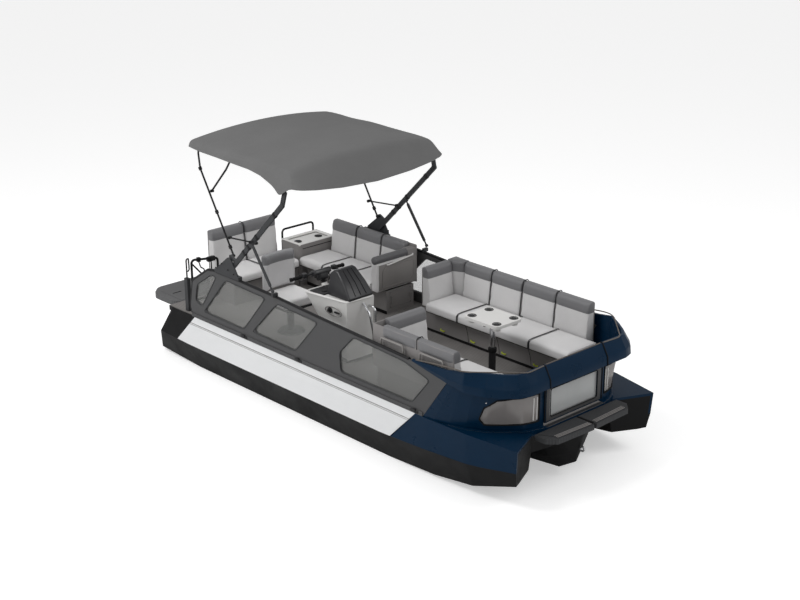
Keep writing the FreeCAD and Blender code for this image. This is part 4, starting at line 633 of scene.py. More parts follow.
# %% [markdown]
# ## The long seats
# A bench seat is a row of pads on one hinged lid, each with a slightly crowned top and a
# rounded nose. One long pad with drawn seams would miss the valleys between them, so each
# pad is its own prism. A dark board lies under them, and dark piping fills the joints.

# %% Seats
seat_low = 0.962
seat_top = 1.072
seat_gap = 0.004
seat_nose = ((0.006, seat_low + 0.012), (0.020, seat_low))
seat_heel = ((0.010, seat_low), (0.004, seat_top - 0.02), (0.02, seat_top - 0.004))
seat_crown = ((0.09, seat_top - 0.002), (0.03, seat_top - 0.008), (0.008, seat_top - 0.030))
board_low = 0.956
board_high = 1.045
board_round = 0.006
benches = (
    ("PortFront", "port_front", "X", (0.300, 0.81, 1.345, 1.88, 2.430), 0.402, 0.905, (0.306, 0.425),
     (2.418, 0.898)),
    ("StarboardFront", "starboard_front", "X", (1.210, 1.800, 2.430), -0.402, -0.905, (1.216, -0.898),
     (2.418, -0.425)),
    ("MidPort", "mid_port", "X", (-1.950, -1.510, -1.070, -0.627), 0.402, 0.905, (-1.944, 0.425),
     (-0.636, 0.898)),
    ("Stern", "stern", "Y", (-0.560, -0.091, 0.378), -1.872, -2.340, (-2.334, -0.553), (-1.895, 0.370)),
)


def seat_profile(front, back):
    """Across the seat, from its nose to the backrest."""
    turn = 1 if back > front else -1
    return ([(front + inset * turn, height) for inset, height in seat_nose]
            + [(back - inset * turn, height) for inset, height in seat_heel]
            + [(front + inset * turn, height) for inset, height in seat_crown])


for word, node_word, axis, cuts, front, back, low, high in benches:
    lid = node_word + "_lid"
    profile = seat_profile(front, back)
    pads = [prism(profile, axis, start + seat_gap, end - seat_gap) for start, end in zip(cuts, cuts[1:])]
    welts(word + "SeatWelts", profile, axis, cuts[1:-1], lid)
    upholster(word + "Seat", pads, seat_vinyl, lid, [node_word + "_cushion"], pad_cap)
    settle(block((*low, board_low), (*high, board_high), board_round), word + "Board", piping, lid)

# %% [markdown]
# ## The backrests
# Each backrest is a row of separate pads on a moulded shell. The lower part of a pad is
# light, and a thick dark roll caps it above the seam. Roll and pad could be two pieces, but
# one section with a notch at the seam gives both, and the vinyl changes colour there. The
# shell is a thin board with rounded edges behind the pads.

# %% Backrest helpers
back_foot = 0.965
back_top = 1.450
back_gap = 0.0045
foot_depth = 0.144
roll_depth = 0.094
notch_depth = roll_depth + 0.020
shell_foot = 0.958
shell_top = 1.425
shell_round = 0.010


def back_profile(outer, facing, top=back_top, split=bench_split):
    """The pad's section: outer is the shell's face, facing is 1 towards +side and -1 towards -side."""
    section = ((0.016, back_foot), (foot_depth, back_foot), (foot_depth - 0.004, back_foot + 0.10),
               (notch_depth, split - 0.012), (notch_depth - 0.012, split),
               (notch_depth + 0.002, split + 0.014), (roll_depth + 0.006, top - 0.035),
               (roll_depth - 0.016, top - 0.010), (0.022, top - 0.008), (0.005, top - 0.026),
               (0.005, split + 0.01), (0.016, split))
    return [(outer + depth * facing, height) for depth, height in section]


def back_row(word, node_word, cuts, profile, axis="X", finish=back_vinyl, more=()):
    pads = list(more)
    for start, end in zip(cuts, cuts[1:]):
        pads.append(prism(profile, axis, start + back_gap, end - back_gap))
    welts(word + "BackWelts", profile, axis, cuts[1:-1], "hull")
    upholster(word + "Back", pads, finish, "hull", [node_word + "_backrest"], back_cap)


def back_shell(name, low, high, top=shell_top):
    settle(block((*low, shell_foot), (*high, top), shell_round), name, moulded_grey)


# %% Front backrests
side_wall = 1.064
port_turn = 0.140
starboard_turn = 1.050
corner_plan = ((0.150, 1.056), (0.150, 0.906), (0.240, 0.906), (0.370, 0.972), (0.370, 1.056))
corner_top = 1.445
port_return = prism(back_profile(port_turn, 1), "Y", 0.505, 0.900)
back_row("PortFront", "port_front", (0.375, 0.81, 1.28, 1.77, 2.249), back_profile(side_wall, -1),
         more=[port_return])
back_shell("PortFrontShell", (0.150, 1.040), (2.240, 1.058))
back_shell("PortReturnShell", (0.146, 0.510), (0.164, 1.050))
corner_pad = plate([(x, y, back_foot) for x, y in corner_plan], (0, 0, corner_top - back_foot))
upholster("PortCornerBack", [corner_pad], back_vinyl, "hull", [], back_cap)
starboard_return = prism(back_profile(starboard_turn, 1), "Y", -0.900, -0.377)
back_row("StarboardFront", "starboard_front", (1.200, 1.720, 2.249), back_profile(-side_wall, 1),
         more=[starboard_return])
back_shell("StarboardFrontShell", (1.060, -1.058), (2.240, -1.040))
back_shell("StarboardReturnShell", (1.056, -1.050), (1.074, -0.382))

# %% Middle and stern backrests
arm_profile = ((-0.612, 0.965), (-0.506, 0.965), (-0.506, 1.325), (-0.612, 1.325))
arm_start = 0.412
arm_width = 0.500
roll_center = (-0.559, 0.728, 1.352)
roll_radius = 0.050
roll_length = 0.652
roll_cap = 0.004
stern_back_top = 1.520
stern_shell_top = 1.495
arm_pad = plate([(x, arm_start, z) for x, z in arm_profile], (0, arm_width, 0))
back_row("MidPort", "mid_port", (-1.950, -1.490, -1.035, -0.620), back_profile(side_wall, -1))
upholster("MidPortArm", [arm_pad], seat_vinyl, "hull", [], back_cap)
back_shell("MidPortShell", (-1.940, 1.040), (-0.506, 1.058))
arm_roll = disc(roll_center, roll_radius, roll_length, axis="Y", round_edge=0.012)
upholster("MidPortRoll", [arm_roll], roll_vinyl, "hull", [], roll_cap)
back_row("Stern", "stern", (-0.560, -0.068, 0.425), back_profile(-2.500, 1, stern_back_top, stern_split),
         axis="Y", finish=stern_vinyl)
back_shell("SternShell", (-2.494, -0.550), (-2.476, 0.415), stern_shell_top)

# %% [markdown]
# ## The captain's chair
# A swivel chair with a thick seat pad and a wrap-round back. Both are single pads, plumped
# like the benches, but their outlines are drawn in plan, because there they are rounder. A
# dark shell carries the seat on a swivel plate.

# %% Chair
plan_steps = 4
chair_low = (-1.085, -0.840)
chair_high = (-0.622, -0.360)
chair_corner = 0.075
chair_seat_foot = 1.030
chair_seat_thick = 0.108
chair_back_foot = 1.150
chair_back_height = 0.435
back_plan = ((-1.080, -0.835), (-1.035, -0.842), (-1.020, -0.800), (-1.048, -0.720), (-1.055, -0.600),
             (-1.048, -0.480), (-1.020, -0.400), (-1.035, -0.358), (-1.080, -0.365), (-1.128, -0.460),
             (-1.138, -0.600), (-1.128, -0.740))


def rounded_plan(low, high, radius, steps=plan_steps):
    """A rectangle in plan with round corners, as (x, y) pairs."""
    (x0, y0), (x1, y1) = low, high
    centers = [(x1 - radius, y1 - radius, 0), (x0 + radius, y1 - radius, 90), (x0 + radius, y0 + radius, 180),
               (x1 - radius, y0 + radius, 270)]
    outline = []
    for cx, cy, first in centers:
        for step in range(steps + 1):
            angle = math.radians(first + 90 * step / steps)
            outline.append((cx + radius * math.cos(angle), cy + radius * math.sin(angle)))
    return outline


seat_plan = rounded_plan(chair_low, chair_high, chair_corner)
seat_pad = plate([(x, y, chair_seat_foot) for x, y in seat_plan], (0, 0, chair_seat_thick), 0.020)
upholster("ChairSeat", [seat_pad], seat_vinyl, "captain_chair", ["captain_seat"], chair_cap)
back_pad = plate([(x, y, chair_back_foot) for x, y in back_plan], (0, 0, chair_back_height), 0.016)
upholster("ChairBack", [back_pad], chair_vinyl, "captain_chair", ["captain_backrest"], chair_cap)
chair_shell = block((-1.090, -0.830, 1.006), (-0.630, -0.370, 1.034), 0.012)
settle(chair_shell, "ChairShell", moulded_dark, "captain_chair")
swivel = disc((-0.860, -0.600, 1.000), 0.075, 0.024, round_edge=0.006)
settle(swivel, "ChairSwivel", rail_black, "captain_chair")

# %% [markdown]
# ## The sun top
# The cloth is one sheet stretched over three bows. Seen from above, its roof ends at a soft
# crease, and a skirt hangs from there: a slim valance aft and along the sides, and a deep
# visor in front whose corners are cut back. The valance reaches down where it is laced to
# the main bow. A simulation could drape it, but a stretched cloth hardly sags, so a grid is
# laid on formulas. Each ring of it is one step further out over the roof and down the skirt.

# %% Canopy sizes
canopy_cells = 96
roof_share = 0.76
crown_drop = 0.085
cloth_sag = 0.007
cloth_thickness = 0.004
crease_half = 1.055
crease_rear = -2.075
crease_fore = -0.250
tent_round = 0.060
bend_share = 0.4
corner_cut = 0.03
corner_start = 1.72
corner_run = 0.28
skirt_lead = 0.120
skirt_out = 0.022
skirt_flare = 0.033
lace_reach = 0.050
lace_place = -0.30
lace_spread = 0.11
rear_hang = 2.715
rear_dip = 0.010
rear_out = 0.012
side_hem = ((-2.085, 2.706), (-1.80, 2.696), (-1.50, 2.688), (-1.20, 2.676), (-0.90, 2.668), (-0.70, 2.642),
            (-0.50, 2.578), (-0.32, 2.508), (-0.28, 2.522), (-0.20, 2.585), (-0.130, 2.600))
visor_half = 1.110
visor_hem = ((0.0, 0.0, 2.505), (0.50, -0.010, 2.528), (0.85, -0.030, 2.565), (1.02, -0.065, 2.588),
             (visor_half, -0.130, 2.600))
crown_line = ((-2.085, 2.862), (-1.93, 2.868), (-1.60, 2.866), (-1.236, 2.870), (-0.75, 2.864),
              (-0.40, 2.854), (-0.20, 2.840))
bows = (-1.939, -1.236, -0.262)
print("sun top from", crease_rear, "to", crease_fore)


# %% Canopy shape
def between(table, value):
    """Reads a table of (place, values...) rows, straight between its rows."""
    for first, second in zip(table, table[1:]):
        if value <= second[0] or second is table[-1]:
            part = min(1.0, max(0.0, (value - first[0]) / (second[0] - first[0])))
            return [a + (b - a) * part for a, b in zip(first[1:], second[1:])]


def roof_height(x, y):
    sag = 0.0
    for first, second in zip(bows, bows[1:]):
        if first < x < second:
            sag = cloth_sag * math.sin(math.pi * (x - first) / (second - first)) ** 2
    return between(crown_line, x)[0] - crown_drop * (y / crease_half) ** 2 - sag


def rim_places(along, across):
    """The crease and the hem at one place on the border of a square from -1 to 1."""
    side = math.copysign(1, across)
    cut = corner_cut * max(0.0, abs(across) + abs(along) - corner_start) / corner_run
    if abs(across) >= abs(along):
        part = (along + 1) / 2
        x = crease_rear + (crease_fore - crease_rear) * part
        y = (crease_half - cut) * side
        hem_x = x + skirt_lead * part ** 3
        out = y + (skirt_out + skirt_flare * part ** 3) * side
        lace = lace_reach * math.exp(-((hem_x - lace_place) / lace_spread) ** 2)
        hem = Vector((hem_x, out + lace * side, between(side_hem, hem_x)[0]))
        return Vector((x, y, roof_height(x, y))), hem
    x = crease_rear if along < 0 else crease_fore
    y = (crease_half - cut) * across
    crease = Vector((x, y, roof_height(x, y)))
    if along < 0:
        hang = rear_hang - rear_dip * across * across
        return crease, Vector((crease_rear - rear_out, y * (1 + rear_out), hang))
    hem_x, hem_z = between(visor_hem, abs(across) * visor_half)
    return crease, Vector((hem_x, across * visor_half, hem_z))


def sheet_point(along, across):
    """Where a point of the flat square from -1 to 1 lies on the stretched sheet."""
    reach = max(abs(along), abs(across), 1e-6)
    crease, hem = rim_places(along / reach, across / reach)
    middle = Vector(((crease_rear + crease_fore) / 2, 0, 0))
    inward = Vector((middle.x - crease.x, -crease.y, 0))
    edge = crease + inward.normalized() * tent_round
    edge.z = roof_height(edge.x, edge.y)
    if reach <= roof_share:
        part = reach / roof_share
        x = middle.x + (edge.x - middle.x) * part
        y = edge.y * part
        return Vector((x, y, roof_height(x, y)))
    part = (reach - roof_share) / (1 - roof_share)
    fall = hem - crease
    knee = crease + fall * min(0.7, tent_round / fall.length)
    if part < bend_share:
        turn = part / bend_share
        return edge * (1 - turn) ** 2 + crease * 2 * turn * (1 - turn) + knee * turn ** 2
    return knee + (hem - knee) * (part - bend_share) / (1 - bend_share)


# %% Canopy
clear()
bpy.ops.mesh.primitive_grid_add(x_subdivisions=canopy_cells, y_subdivisions=canopy_cells, size=2)
canopy = bpy.context.object
for vertex in canopy.data.vertices:
    vertex.co = sheet_point(vertex.co.x, vertex.co.y)
apply_modifier(canopy, "SMOOTH", factor=relax, iterations=2)
apply_modifier(canopy, "SOLIDIFY", thickness=cloth_thickness, offset=-1)
settle(canopy, "SunTop", canopy_cloth, None)
only(canopy)
bpy.ops.object.shade_smooth()
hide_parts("canopy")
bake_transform(canopy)

# %% [markdown]
# ## Lines along the side
# The fence's windows sit in dark gaskets, a black strip closes the joint between the fence
# and the deck, and two grooves run along the white panel. Profiles could be swept for each,
# but at this size a slim round bead reads the same. The grooves' beads are grey, which is
# painted shade in the grooves. Each line is drawn once, for port, and mirrored for starboard.

# %% Side sizes
fence_windows = (
    ((0.0325, 0.314), (0.045, 0.620), (0.118, 0.900), (0.140, 0.880), (0.065, 0.255)),
    ((0.072, 0.170), (0.185, 0.895), (0.368, 0.860), (0.262, 0.155)),
    ((0.302, 0.184), (0.418, 0.842), (0.592, 0.800), (0.492, 0.164)),
    ((0.682, 0.142), (0.678, 0.465), (0.735, 0.795), (0.928, 0.745), (1.020, 0.600), (0.955, 0.145)),
)
fence_rear = -2.095
fence_run = 4.0
fence_foot = 0.675
fence_rise = 0.69
fence_face = 1.1375
strip_line = ((-2.02, fence_face, 0.684), (1.86, fence_face, 0.684))
upper_groove = ((-2.055, 1.1563, 0.592), (1.716, 1.1563, 0.592))
lower_groove = ((-2.075, 1.160, 0.574), (1.700, 1.160, 0.574))
panel_seam = ((1.788, 1.141, 0.672), (1.473, 1.211, 0.335))
latch_places = (-1.036, -0.067, 1.773)
latch_parts = ((0.060, (1.130, 0.682), (1.152, 0.716), 0.006), (0.024, (1.140, 0.690), (1.160, 0.726), 0.005))
print("windows a side", len(fence_windows))

# %% Gaskets and strips
for side, word in both_sides:
    beads = []
    for outline in fence_windows:
        line = [(fence_rear + fence_run * along, fence_face * side, fence_foot + fence_rise * up)
                for along, up in outline]
        beads.append(bar(line, 0.0045, bend=0.05, closed=True))
    settle(join(beads), word + "Gaskets", bow_grey)
    settle(bar(on_side(strip_line, side), 0.007), word + "BaseStrip", rubber_black)
    # The grooves are grey beads on the white panel: their grey is painted shade in the grooves.
    groove_shades = [bar(on_side(upper_groove, side), 0.0030), bar(on_side(lower_groove, side), 0.0025)]
    settle(join(groove_shades), word + "PanelGrooveShade", trim_grey)
    settle(bar(on_side(panel_seam, side), 0.0035), word + "PanelSeam", rubber_black)
    latches = []
    for x in latch_places:
        for half, (inner, low), (outer, high), edge in latch_parts:
            latches.append(block((x - half, inner * side, low), (x + half, outer * side, high), edge))
    settle(join(latches), word + "Latches", moulded_dark)

# %% [markdown]
# ## The flared bow
# The fairings are smooth mouldings, and the CAD mesh has small turns where they curve. A
# subdivision would round the real edges too. Instead each corner of a face gets the mean
# normal of its neighbours that turn only a little, so that light runs over the curve and
# the edges stay crisp. The vertices stay where they are.

# %% Smooth light on the mouldings
turn_limit = math.radians(28)
moulded_skins = ("bow_fairing_port", "bow_fairing_starboard", "bow_gate_panel", "bow_windows", "bow_cap_port",
                 "bow_cap_starboard", "sponson_port", "sponson_starboard")


def smooth_light(skin, limit):
    mesh = skin.data
    corners = [(face, tuple(round(value, 4) for value in mesh.vertices[index].co))
               for face in mesh.polygons for index in face.vertices]
    around = {}
    for face, place in corners:
        around.setdefault(place, []).append((face.normal.copy(), face.area))
    normals = []
    for face, place in corners:
        total = face.normal * face.area
        for normal, area in around[place]:
            if normal.dot(face.normal) > math.cos(limit):
                total += normal * area
        normals.append(total.normalized())
    only(skin)
    bpy.ops.object.shade_smooth()
    mesh.normals_split_custom_set(normals)
    print("smoothed", skin.name)


for name in moulded_skins:
    smooth_light(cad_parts[name], turn_limit)

# %% [markdown]
# ## Bow edges
# A soft brown lip closes the band's upper edge, and black seals stand where the gate meets
# it. The deck's edge takes the hull's colours, face by face, and a thin navy margin covers
# the strip of deck outside the wall. Beads and thin plates are enough, because each is only
# a few millimetres thick.

# %% Bow band and deck edge
deck_skin = 0.6755
cap_start = 1.700
upright_limit = 0.5
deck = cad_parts["deck"]
deck.data.materials.append(gelcoat_navy)
deck.data.materials.append(rail_black)
for face in deck.data.polygons:
    if abs(face.normal.z) < upright_limit:
        face.material_index = 1 if face.center.x > cap_start else 2

rim_level = 1.317
lip_radius = 0.0065
lip_line = ((1.780, 1.129, 1.250), (2.030, 1.131, 1.287), (2.300, 1.131, rim_level),
            (2.400, 1.129, rim_level), (2.487, 1.078, rim_level), (2.700, 0.873, rim_level),
            (2.886, 0.694, rim_level), (2.868, 0.446, rim_level))
seal_side = 0.430
gate_profile = ((2.884, 0.712), (2.884, 1.094), (2.954, 1.100), (2.947, 1.186), (2.876, 1.312),
                (2.848, 1.321))
for side, word in both_sides:
    settle(bar(on_side(lip_line, side), lip_radius, bend=0.06), word + "BowLip", lip_brown)
    seal = bar([(x, seal_side * side, z) for x, z in gate_profile], 0.006, bend=0.012)
    settle(seal, word + "GateSeal", rubber_black)
gate_lip = bar([(2.860, -0.405, rim_level), (2.860, 0.405, rim_level)], lip_radius)
settle(gate_lip, "GateLip", lip_brown, "bow_gate")

# %% Deck margin
deck_rim = ((1.781, 1.122), (2.220, 1.104), (2.391, 1.058), (2.582, 0.960), (2.856, 0.660), (2.927, 0.427))
wall_foot = ((2.868, 0.4325), (2.852, 0.555), (2.811, 0.665), (2.703, 0.7954), (2.569, 0.931),
             (2.385, 1.0346), (2.216, 1.0907), (2.035, 1.1200), (1.8905, 1.1200))
margin_thickness = 0.003
for side, word in both_sides:
    outline = [(x, y * side, deck_skin) for x, y in deck_rim + wall_foot]
    settle(plate(outline, (0, 0, margin_thickness), 0.001), word + "DeckMargin", gelcoat_navy)
apron = block((2.885, -0.424, deck_skin), (2.926, 0.424, 0.680), 0.002)
settle(apron, "GateApron", bow_grey)

# %% [markdown]
# ## Frames round the bow windows
# The gate's window sits in a grey frame: a plane stood upright, its middle inset and taken
# out. The corner windows wrap round the bow. Their gaskets could be typed point by point,
# but they would drift off the curve, so they are found by looking from ahead along rays:
# each point of the outline goes where its ray meets the wall.

# %% The gate's frame
frame_low = (-0.410, 0.712)
frame_high = (0.410, 1.090)
frame_middle = (2.8815, (frame_low[0] + frame_high[0]) / 2, (frame_low[1] + frame_high[1]) / 2)
frame_span = (frame_high[1] - frame_low[1], frame_high[0] - frame_low[0])
gate_frame = open_frame(frame_middle, frame_span, 0.050, (0.006, 0, 0), turn=(0, math.pi / 2, 0))
apply_modifier(gate_frame, "BEVEL", width=0.003, segments=2, limit_method="ANGLE")
settle(gate_frame, "GateFrame", fence_grey, "bow_gate")
gasket_line = ((-0.352, 0.752), (-0.352, 1.052), (0.352, 1.052), (0.352, 0.752))
gate_gasket = bar([(2.889, y, z) for y, z in gasket_line], 0.0045, bend=0.03, closed=True)
settle(gate_gasket, "GateGasket", rubber_black, "bow_gate")

# %% Rays onto the wall
ahead = 4.0
gasket_proud = 0.001
ray_nudges = (0.0, 0.003, -0.003, 0.006, -0.006)
line_spacing = 0.02
wall_trees = []
for name in ("bow_fairing_port", "bow_fairing_starboard", "bow_windows"):
    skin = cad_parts[name]
    places = [skin.matrix_world @ vertex.co for vertex in skin.data.vertices]
    wall_trees.append(BVHTree.FromPolygons(places, [face.vertices[:] for face in skin.data.polygons]))
print("wall skins", len(wall_trees))


def on_wall(y, z, proud=gasket_proud):
    """The wall's place at (y, z). A ray that slips through the gap round a pane is tried again beside it."""
    for nudge in ray_nudges:
        start = Vector((ahead, y + nudge, z + nudge))
        hits = [tree.ray_cast(start, Vector((-1, 0, 0)))[0] for tree in wall_trees]
        found = [hit.x for hit in hits if hit]
        if found:
            return Vector((max(found) + proud, y, z))


def wall_line(corners, side, closed=True):
    """Points along an outline of (y, z) corners, each laid on the curved wall."""
    ends = list(zip(corners, corners[1:] + corners[:1])) if closed else list(zip(corners, corners[1:]))
    line = []
    for (y0, z0), (y1, z1) in ends:
        steps = max(1, round(math.hypot(y1 - y0, z1 - z0) / line_spacing))
        for step in range(steps):
            part = step / steps
            line.append(on_wall((y0 + (y1 - y0) * part) * side, z0 + (z1 - z0) * part))
    return line


# %% Gaskets, posts and screws of the corner windows
corner_window = [(0.4925, 0.745), (0.4925, 1.040), (0.793, 1.043), (0.909, 1.027), (0.976, 0.944),
                 (0.982, 0.8015), (0.9516, 0.7444)]
post_places = (0.515, 0.560)
post_foot = 0.765
post_head = 1.025
screw_places = ((0.974, 1.0), (0.946, 1.08))
for side, word in both_sides:
    settle(bar(wall_line(corner_window, side), 0.008, closed=True), word + "BowGasket", rubber_black)
    posts = [bar(wall_line([(y, post_foot), (y, post_head)], side, closed=False), 0.0055)
             for y in post_places]
    settle(join(posts), word + "BowPosts", moulded_white)
    screws = [disc(on_wall(y * side, z, 0.0), 0.010, 0.008, axis="X", round_edge=0.002, vertices=12)
              for y, z in screw_places]
    settle(join(screws), word + "BowScrews", steel)

# %% [markdown]
# ## Step treads
# The front step has light treads across it and a dark gap where its halves meet. They could
# be bands of colour, but raised beads catch the light as the real strips do.

# %% Step treads
tread_rows = 3
tread_step = 0.020
tread_outer = (3.128, 0.510, 0.6625)
tread_inner = (3.150, 0.035, 0.6625)
treads = []
for side, word in both_sides:
    for row in range(tread_rows):
        line = on_side((tread_outer, tread_inner), side)
        treads.append(bar([(x - tread_step * row, y, z) for x, y, z in line], 0.0045))
settle(join(treads), "StepTreads", trim_grey)
settle(block((2.940, -0.010, 0.657), (3.150, 0.010, 0.6635), 0.002), "StepGap", rubber_black)

# %% [markdown]
# ## Bench fronts
# The boxes under the seats are moulded in panels with a slim curved seam between them. A lime
# pull tab hangs at each panel's foot, and a dark kick strip runs along the floor. The seams
# could be cut into the box, but the box is a CAD node and stays whole, so thin dark beads
# stand in for the shadow lines.

# %% Bench fronts
base_face = 0.5515
seam_shape = ((0.0, 0.950), (0.012, 0.900), (0.05, 0.80), (0.062, 0.70))
seam_radius = 0.0028
kick_top = 0.706
tab_shape = ((-0.030, 0, 0.748), (-0.024, 1, 0.738), (0.024, 1, 0.732), (0.030, 0, 0.742))
tab_out = 0.010
first_tab = 0.31
tab_lead = 0.13
base_fronts = (
    ("PortFront", 1, (0.80, 1.275, 1.745), 0.14, 2.39),
    ("StarboardFront", -1, (1.55, 1.98), 1.05, 2.39),
    ("MidPort", 1, (-1.50, -1.00), -1.95, -0.62),
)
for word, side, stations, rear, fore in base_fronts:
    face = base_face * side
    out = face - tab_out * side
    seams = [bar([(x + lean, face, z) for lean, z in seam_shape], seam_radius, bend=0.06) for x in stations]
    seams.append(block((rear + 0.004, face - 0.003, deck_skin), (fore - 0.01, face + 0.003, kick_top), 0.002))
    settle(join(seams), word + "Seams", rubber_black)
    tabs = []
    for x in [rear + first_tab] + [station + tab_lead for station in stations]:
        line = [(x + way, out if lifted else face, z) for way, lifted, z in tab_shape]
        tabs.append(bar(line, 0.0075, bend=0.01))
    settle(join(tabs), word + "PullTabs", tab_lime)

# %% [markdown]
# ## The end of the middle bench
# Its forward end is a moulded cabinet: a framed recess in the armrest with a long handle. The
# recess could be inset into a block, but a raised bead round a shallow panel gives the same
# lines and leaves the cabinet's own mesh alone.

# %% Cabinet end
end_x = -0.4985
end_low = (0.500, 1.015)
end_high = (0.985, 1.270)
end_cut = 0.05
(y0, z0), (y1, z1) = end_low, end_high
end_outline = ((y0, z0), (y1 - end_cut, z0), (y1, z0 + end_cut), (y1, z1), (y0 + end_cut, z1),
               (y0, z1 - end_cut))
handle_line = ((-0.495, 0.560, 1.286), (-0.478, 0.575, 1.292), (-0.478, 0.960, 1.330), (-0.495, 0.975, 1.334))
settle(block((-0.612, 0.905, 0.965), (-0.504, 1.058, 1.400), 0.020), "MidPortEndBoard", moulded_grey)
settle(block((-0.508, 0.440, 0.985), (-0.5005, 1.045, 1.300), 0.003), "MidPortEndFace", trim_grey)
end_bead = bar([(end_x, y, z) for y, z in end_outline], 0.006, bend=0.02, closed=True)
end_panel = plate([(end_x - 0.004, y, z) for y, z in end_outline], (0.007, 0, 0), 0.002)
settle(join([end_bead, end_panel]), "MidPortEndFrame", trim_grey)
settle(bar(handle_line, 0.009, bend=0.012), "MidPortEndHandle", moulded_white)
settle(block((-1.955, 0.545, deck_skin), (-0.492, 0.553, 0.715), 0.003), "MidPortKick", rubber_black)

# %% [markdown]
# ## Corner console
# The cabinet in the port stern corner carries a white moulded tray with a raised rim and two
# cup rings. A bead could give the rim, but it is flat on top, so it is a plane whose middle
# is inset and removed, then pulled up and bevelled.

# %% Tray and cup rings
tray_low = (-2.342, 0.460)
tray_high = (-1.980, 1.032)
tray_level = 1.186
tray_height = 0.022
tray_wall = 0.045
cup_x = -2.161
cup_places = (0.581, 0.911)


def cup_ring(x, y, level, ring_radius, bead, disc_radius, disc_thick, drop):
    """A round bead with a dark disc inside it, a little lower."""
    clear()
    bpy.ops.mesh.primitive_torus_add(location=(x, y, level), major_radius=ring_radius, minor_radius=bead,
                                     major_segments=32, minor_segments=8)
    return [bpy.context.object, disc((x, y, level - drop), disc_radius, disc_thick)]


tray_middle = ((tray_low[0] + tray_high[0]) / 2, (tray_low[1] + tray_high[1]) / 2, tray_level)
tray_span = (tray_high[0] - tray_low[0], tray_high[1] - tray_low[1])
tray_rim = open_frame(tray_middle, tray_span, tray_wall, (0, 0, tray_height))
apply_modifier(tray_rim, "BEVEL", width=0.006, segments=3, limit_method="ANGLE")
settle(tray_rim, "TrayRim", moulded_white)
settle(block((-2.300, 0.500, 1.177), (-2.020, 0.990, 1.181)), "TrayFloor", moulded_white)
rings = [piece for y in cup_places for piece in cup_ring(cup_x, y, 1.183, 0.044, 0.006, 0.040, 0.004, 0.0025)]
settle(join(rings), "TrayCupRings", moulded_dark)
settle(bar([(-1.968, 0.50, 1.150), (-1.968, 1.00, 1.150)], 0.004), "ConsoleSeam", rubber_black)

# %% [markdown]
# ## Table
# The table top is a white moulding with four dark cup wells. A bright tube rises out of a
# black sleeve, as a telescoping leg does, and a cross of flat bars carries the top. The top
# is a CAD node, so only its trim is made here, from discs, thin blocks and a bead.

# %% Table trim
well_columns = (1.527, 1.883)
well_rows = (-0.078, 0.178)
leg_x = 1.705
leg_y = 0.050
wells = []
for x in well_columns:
    for y in well_rows:
        wells += cup_ring(x, y, 1.379, 0.043, 0.0055, 0.0425, 0.008, 0.0055)
settle(join(wells), "TableCupWells", moulded_dark)
settle(disc((leg_x, leg_y, 1.160), 0.0295, 0.280, round_edge=0.002), "TableLegTube", steel)
settle(disc((leg_x, leg_y, 1.010), 0.046, 0.050, round_edge=0.008), "TableCollar", rubber_black)
spider = [disc((leg_x, leg_y, 1.300), 0.085, 0.012, round_edge=0.004),
          block((1.560, 0.035, 1.300), (1.850, 0.065, 1.308), 0.003),
          block((1.690, -0.080, 1.300), (1.720, 0.180, 1.308), 0.003)]
settle(join(spider), "TableSpider", moulded_dark)
table_plan = rounded_plan((1.462, -0.143), (1.948, 0.243), 0.055, steps=3)
settle(bar([(x, y, 1.376) for x, y in table_plan], 0.004, closed=True), "TableRim", moulded_white)

# %% [markdown]
# ## The helm hood
# A rounded dark hood shades the gauges. It could be a cube bent by hand, but its look comes
# from its side outline, so that outline is pushed across the console, its upper part is
# drawn in, and its edges are rounded with a bevel. The gauge face is a glossy panel set into
# its after side.

# %% Helm hood
hood_side = -0.795
hood_width = 0.345
hood_middle = -0.6225
hood_foot = 1.42
hood_rise = 0.27
hood_taper = 0.24
hood_outline = ((0.030, 1.4005), (0.392, 1.4005), (0.402, 1.430), (0.300, 1.560), (0.165, 1.682),
                (0.105, 1.692), (0.040, 1.640))
rib_places = (-0.70, hood_middle, -0.545)
rib_line = ((0.392, 1.0, 1.447), (0.297, 0.88, 1.566), (0.170, 0.78, 1.681))
hood = plate([(x, hood_side, z) for x, z in hood_outline], (0, hood_width, 0))
for vertex in hood.data.vertices:
    narrow = 1 - hood_taper * max(0.0, (vertex.co.z - hood_foot) / hood_rise)
    vertex.co.y = hood_middle + (vertex.co.y - hood_middle) * narrow
apply_modifier(hood, "BEVEL", width=0.026, segments=4, limit_method="ANGLE", angle_limit=math.radians(40))
settle(hood, "HelmHood", hood_black)
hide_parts("windshield")
settle(block((0.024, -0.720, 1.470), (0.040, -0.525, 1.610), 0.006), "GaugeGlass", gauge_glass)
hood_ribs = []
for y in rib_places:
    line = [(x, hood_middle + (y - hood_middle) * share, z) for x, share, z in rib_line]
    hood_ribs.append(bar(line, 0.004))
settle(join(hood_ribs), "HoodRibs", rail_black)

# %% [markdown]
# ## The helm's fittings
# The console's white rim is a soft bead. Its starboard face has a ringed recess with a key
# knob and a slot, a steel rail guards the knees in front, and a dark dash carries a row of
# switches. They are small parts of simple form, so rounded blocks, discs and bent bars do.

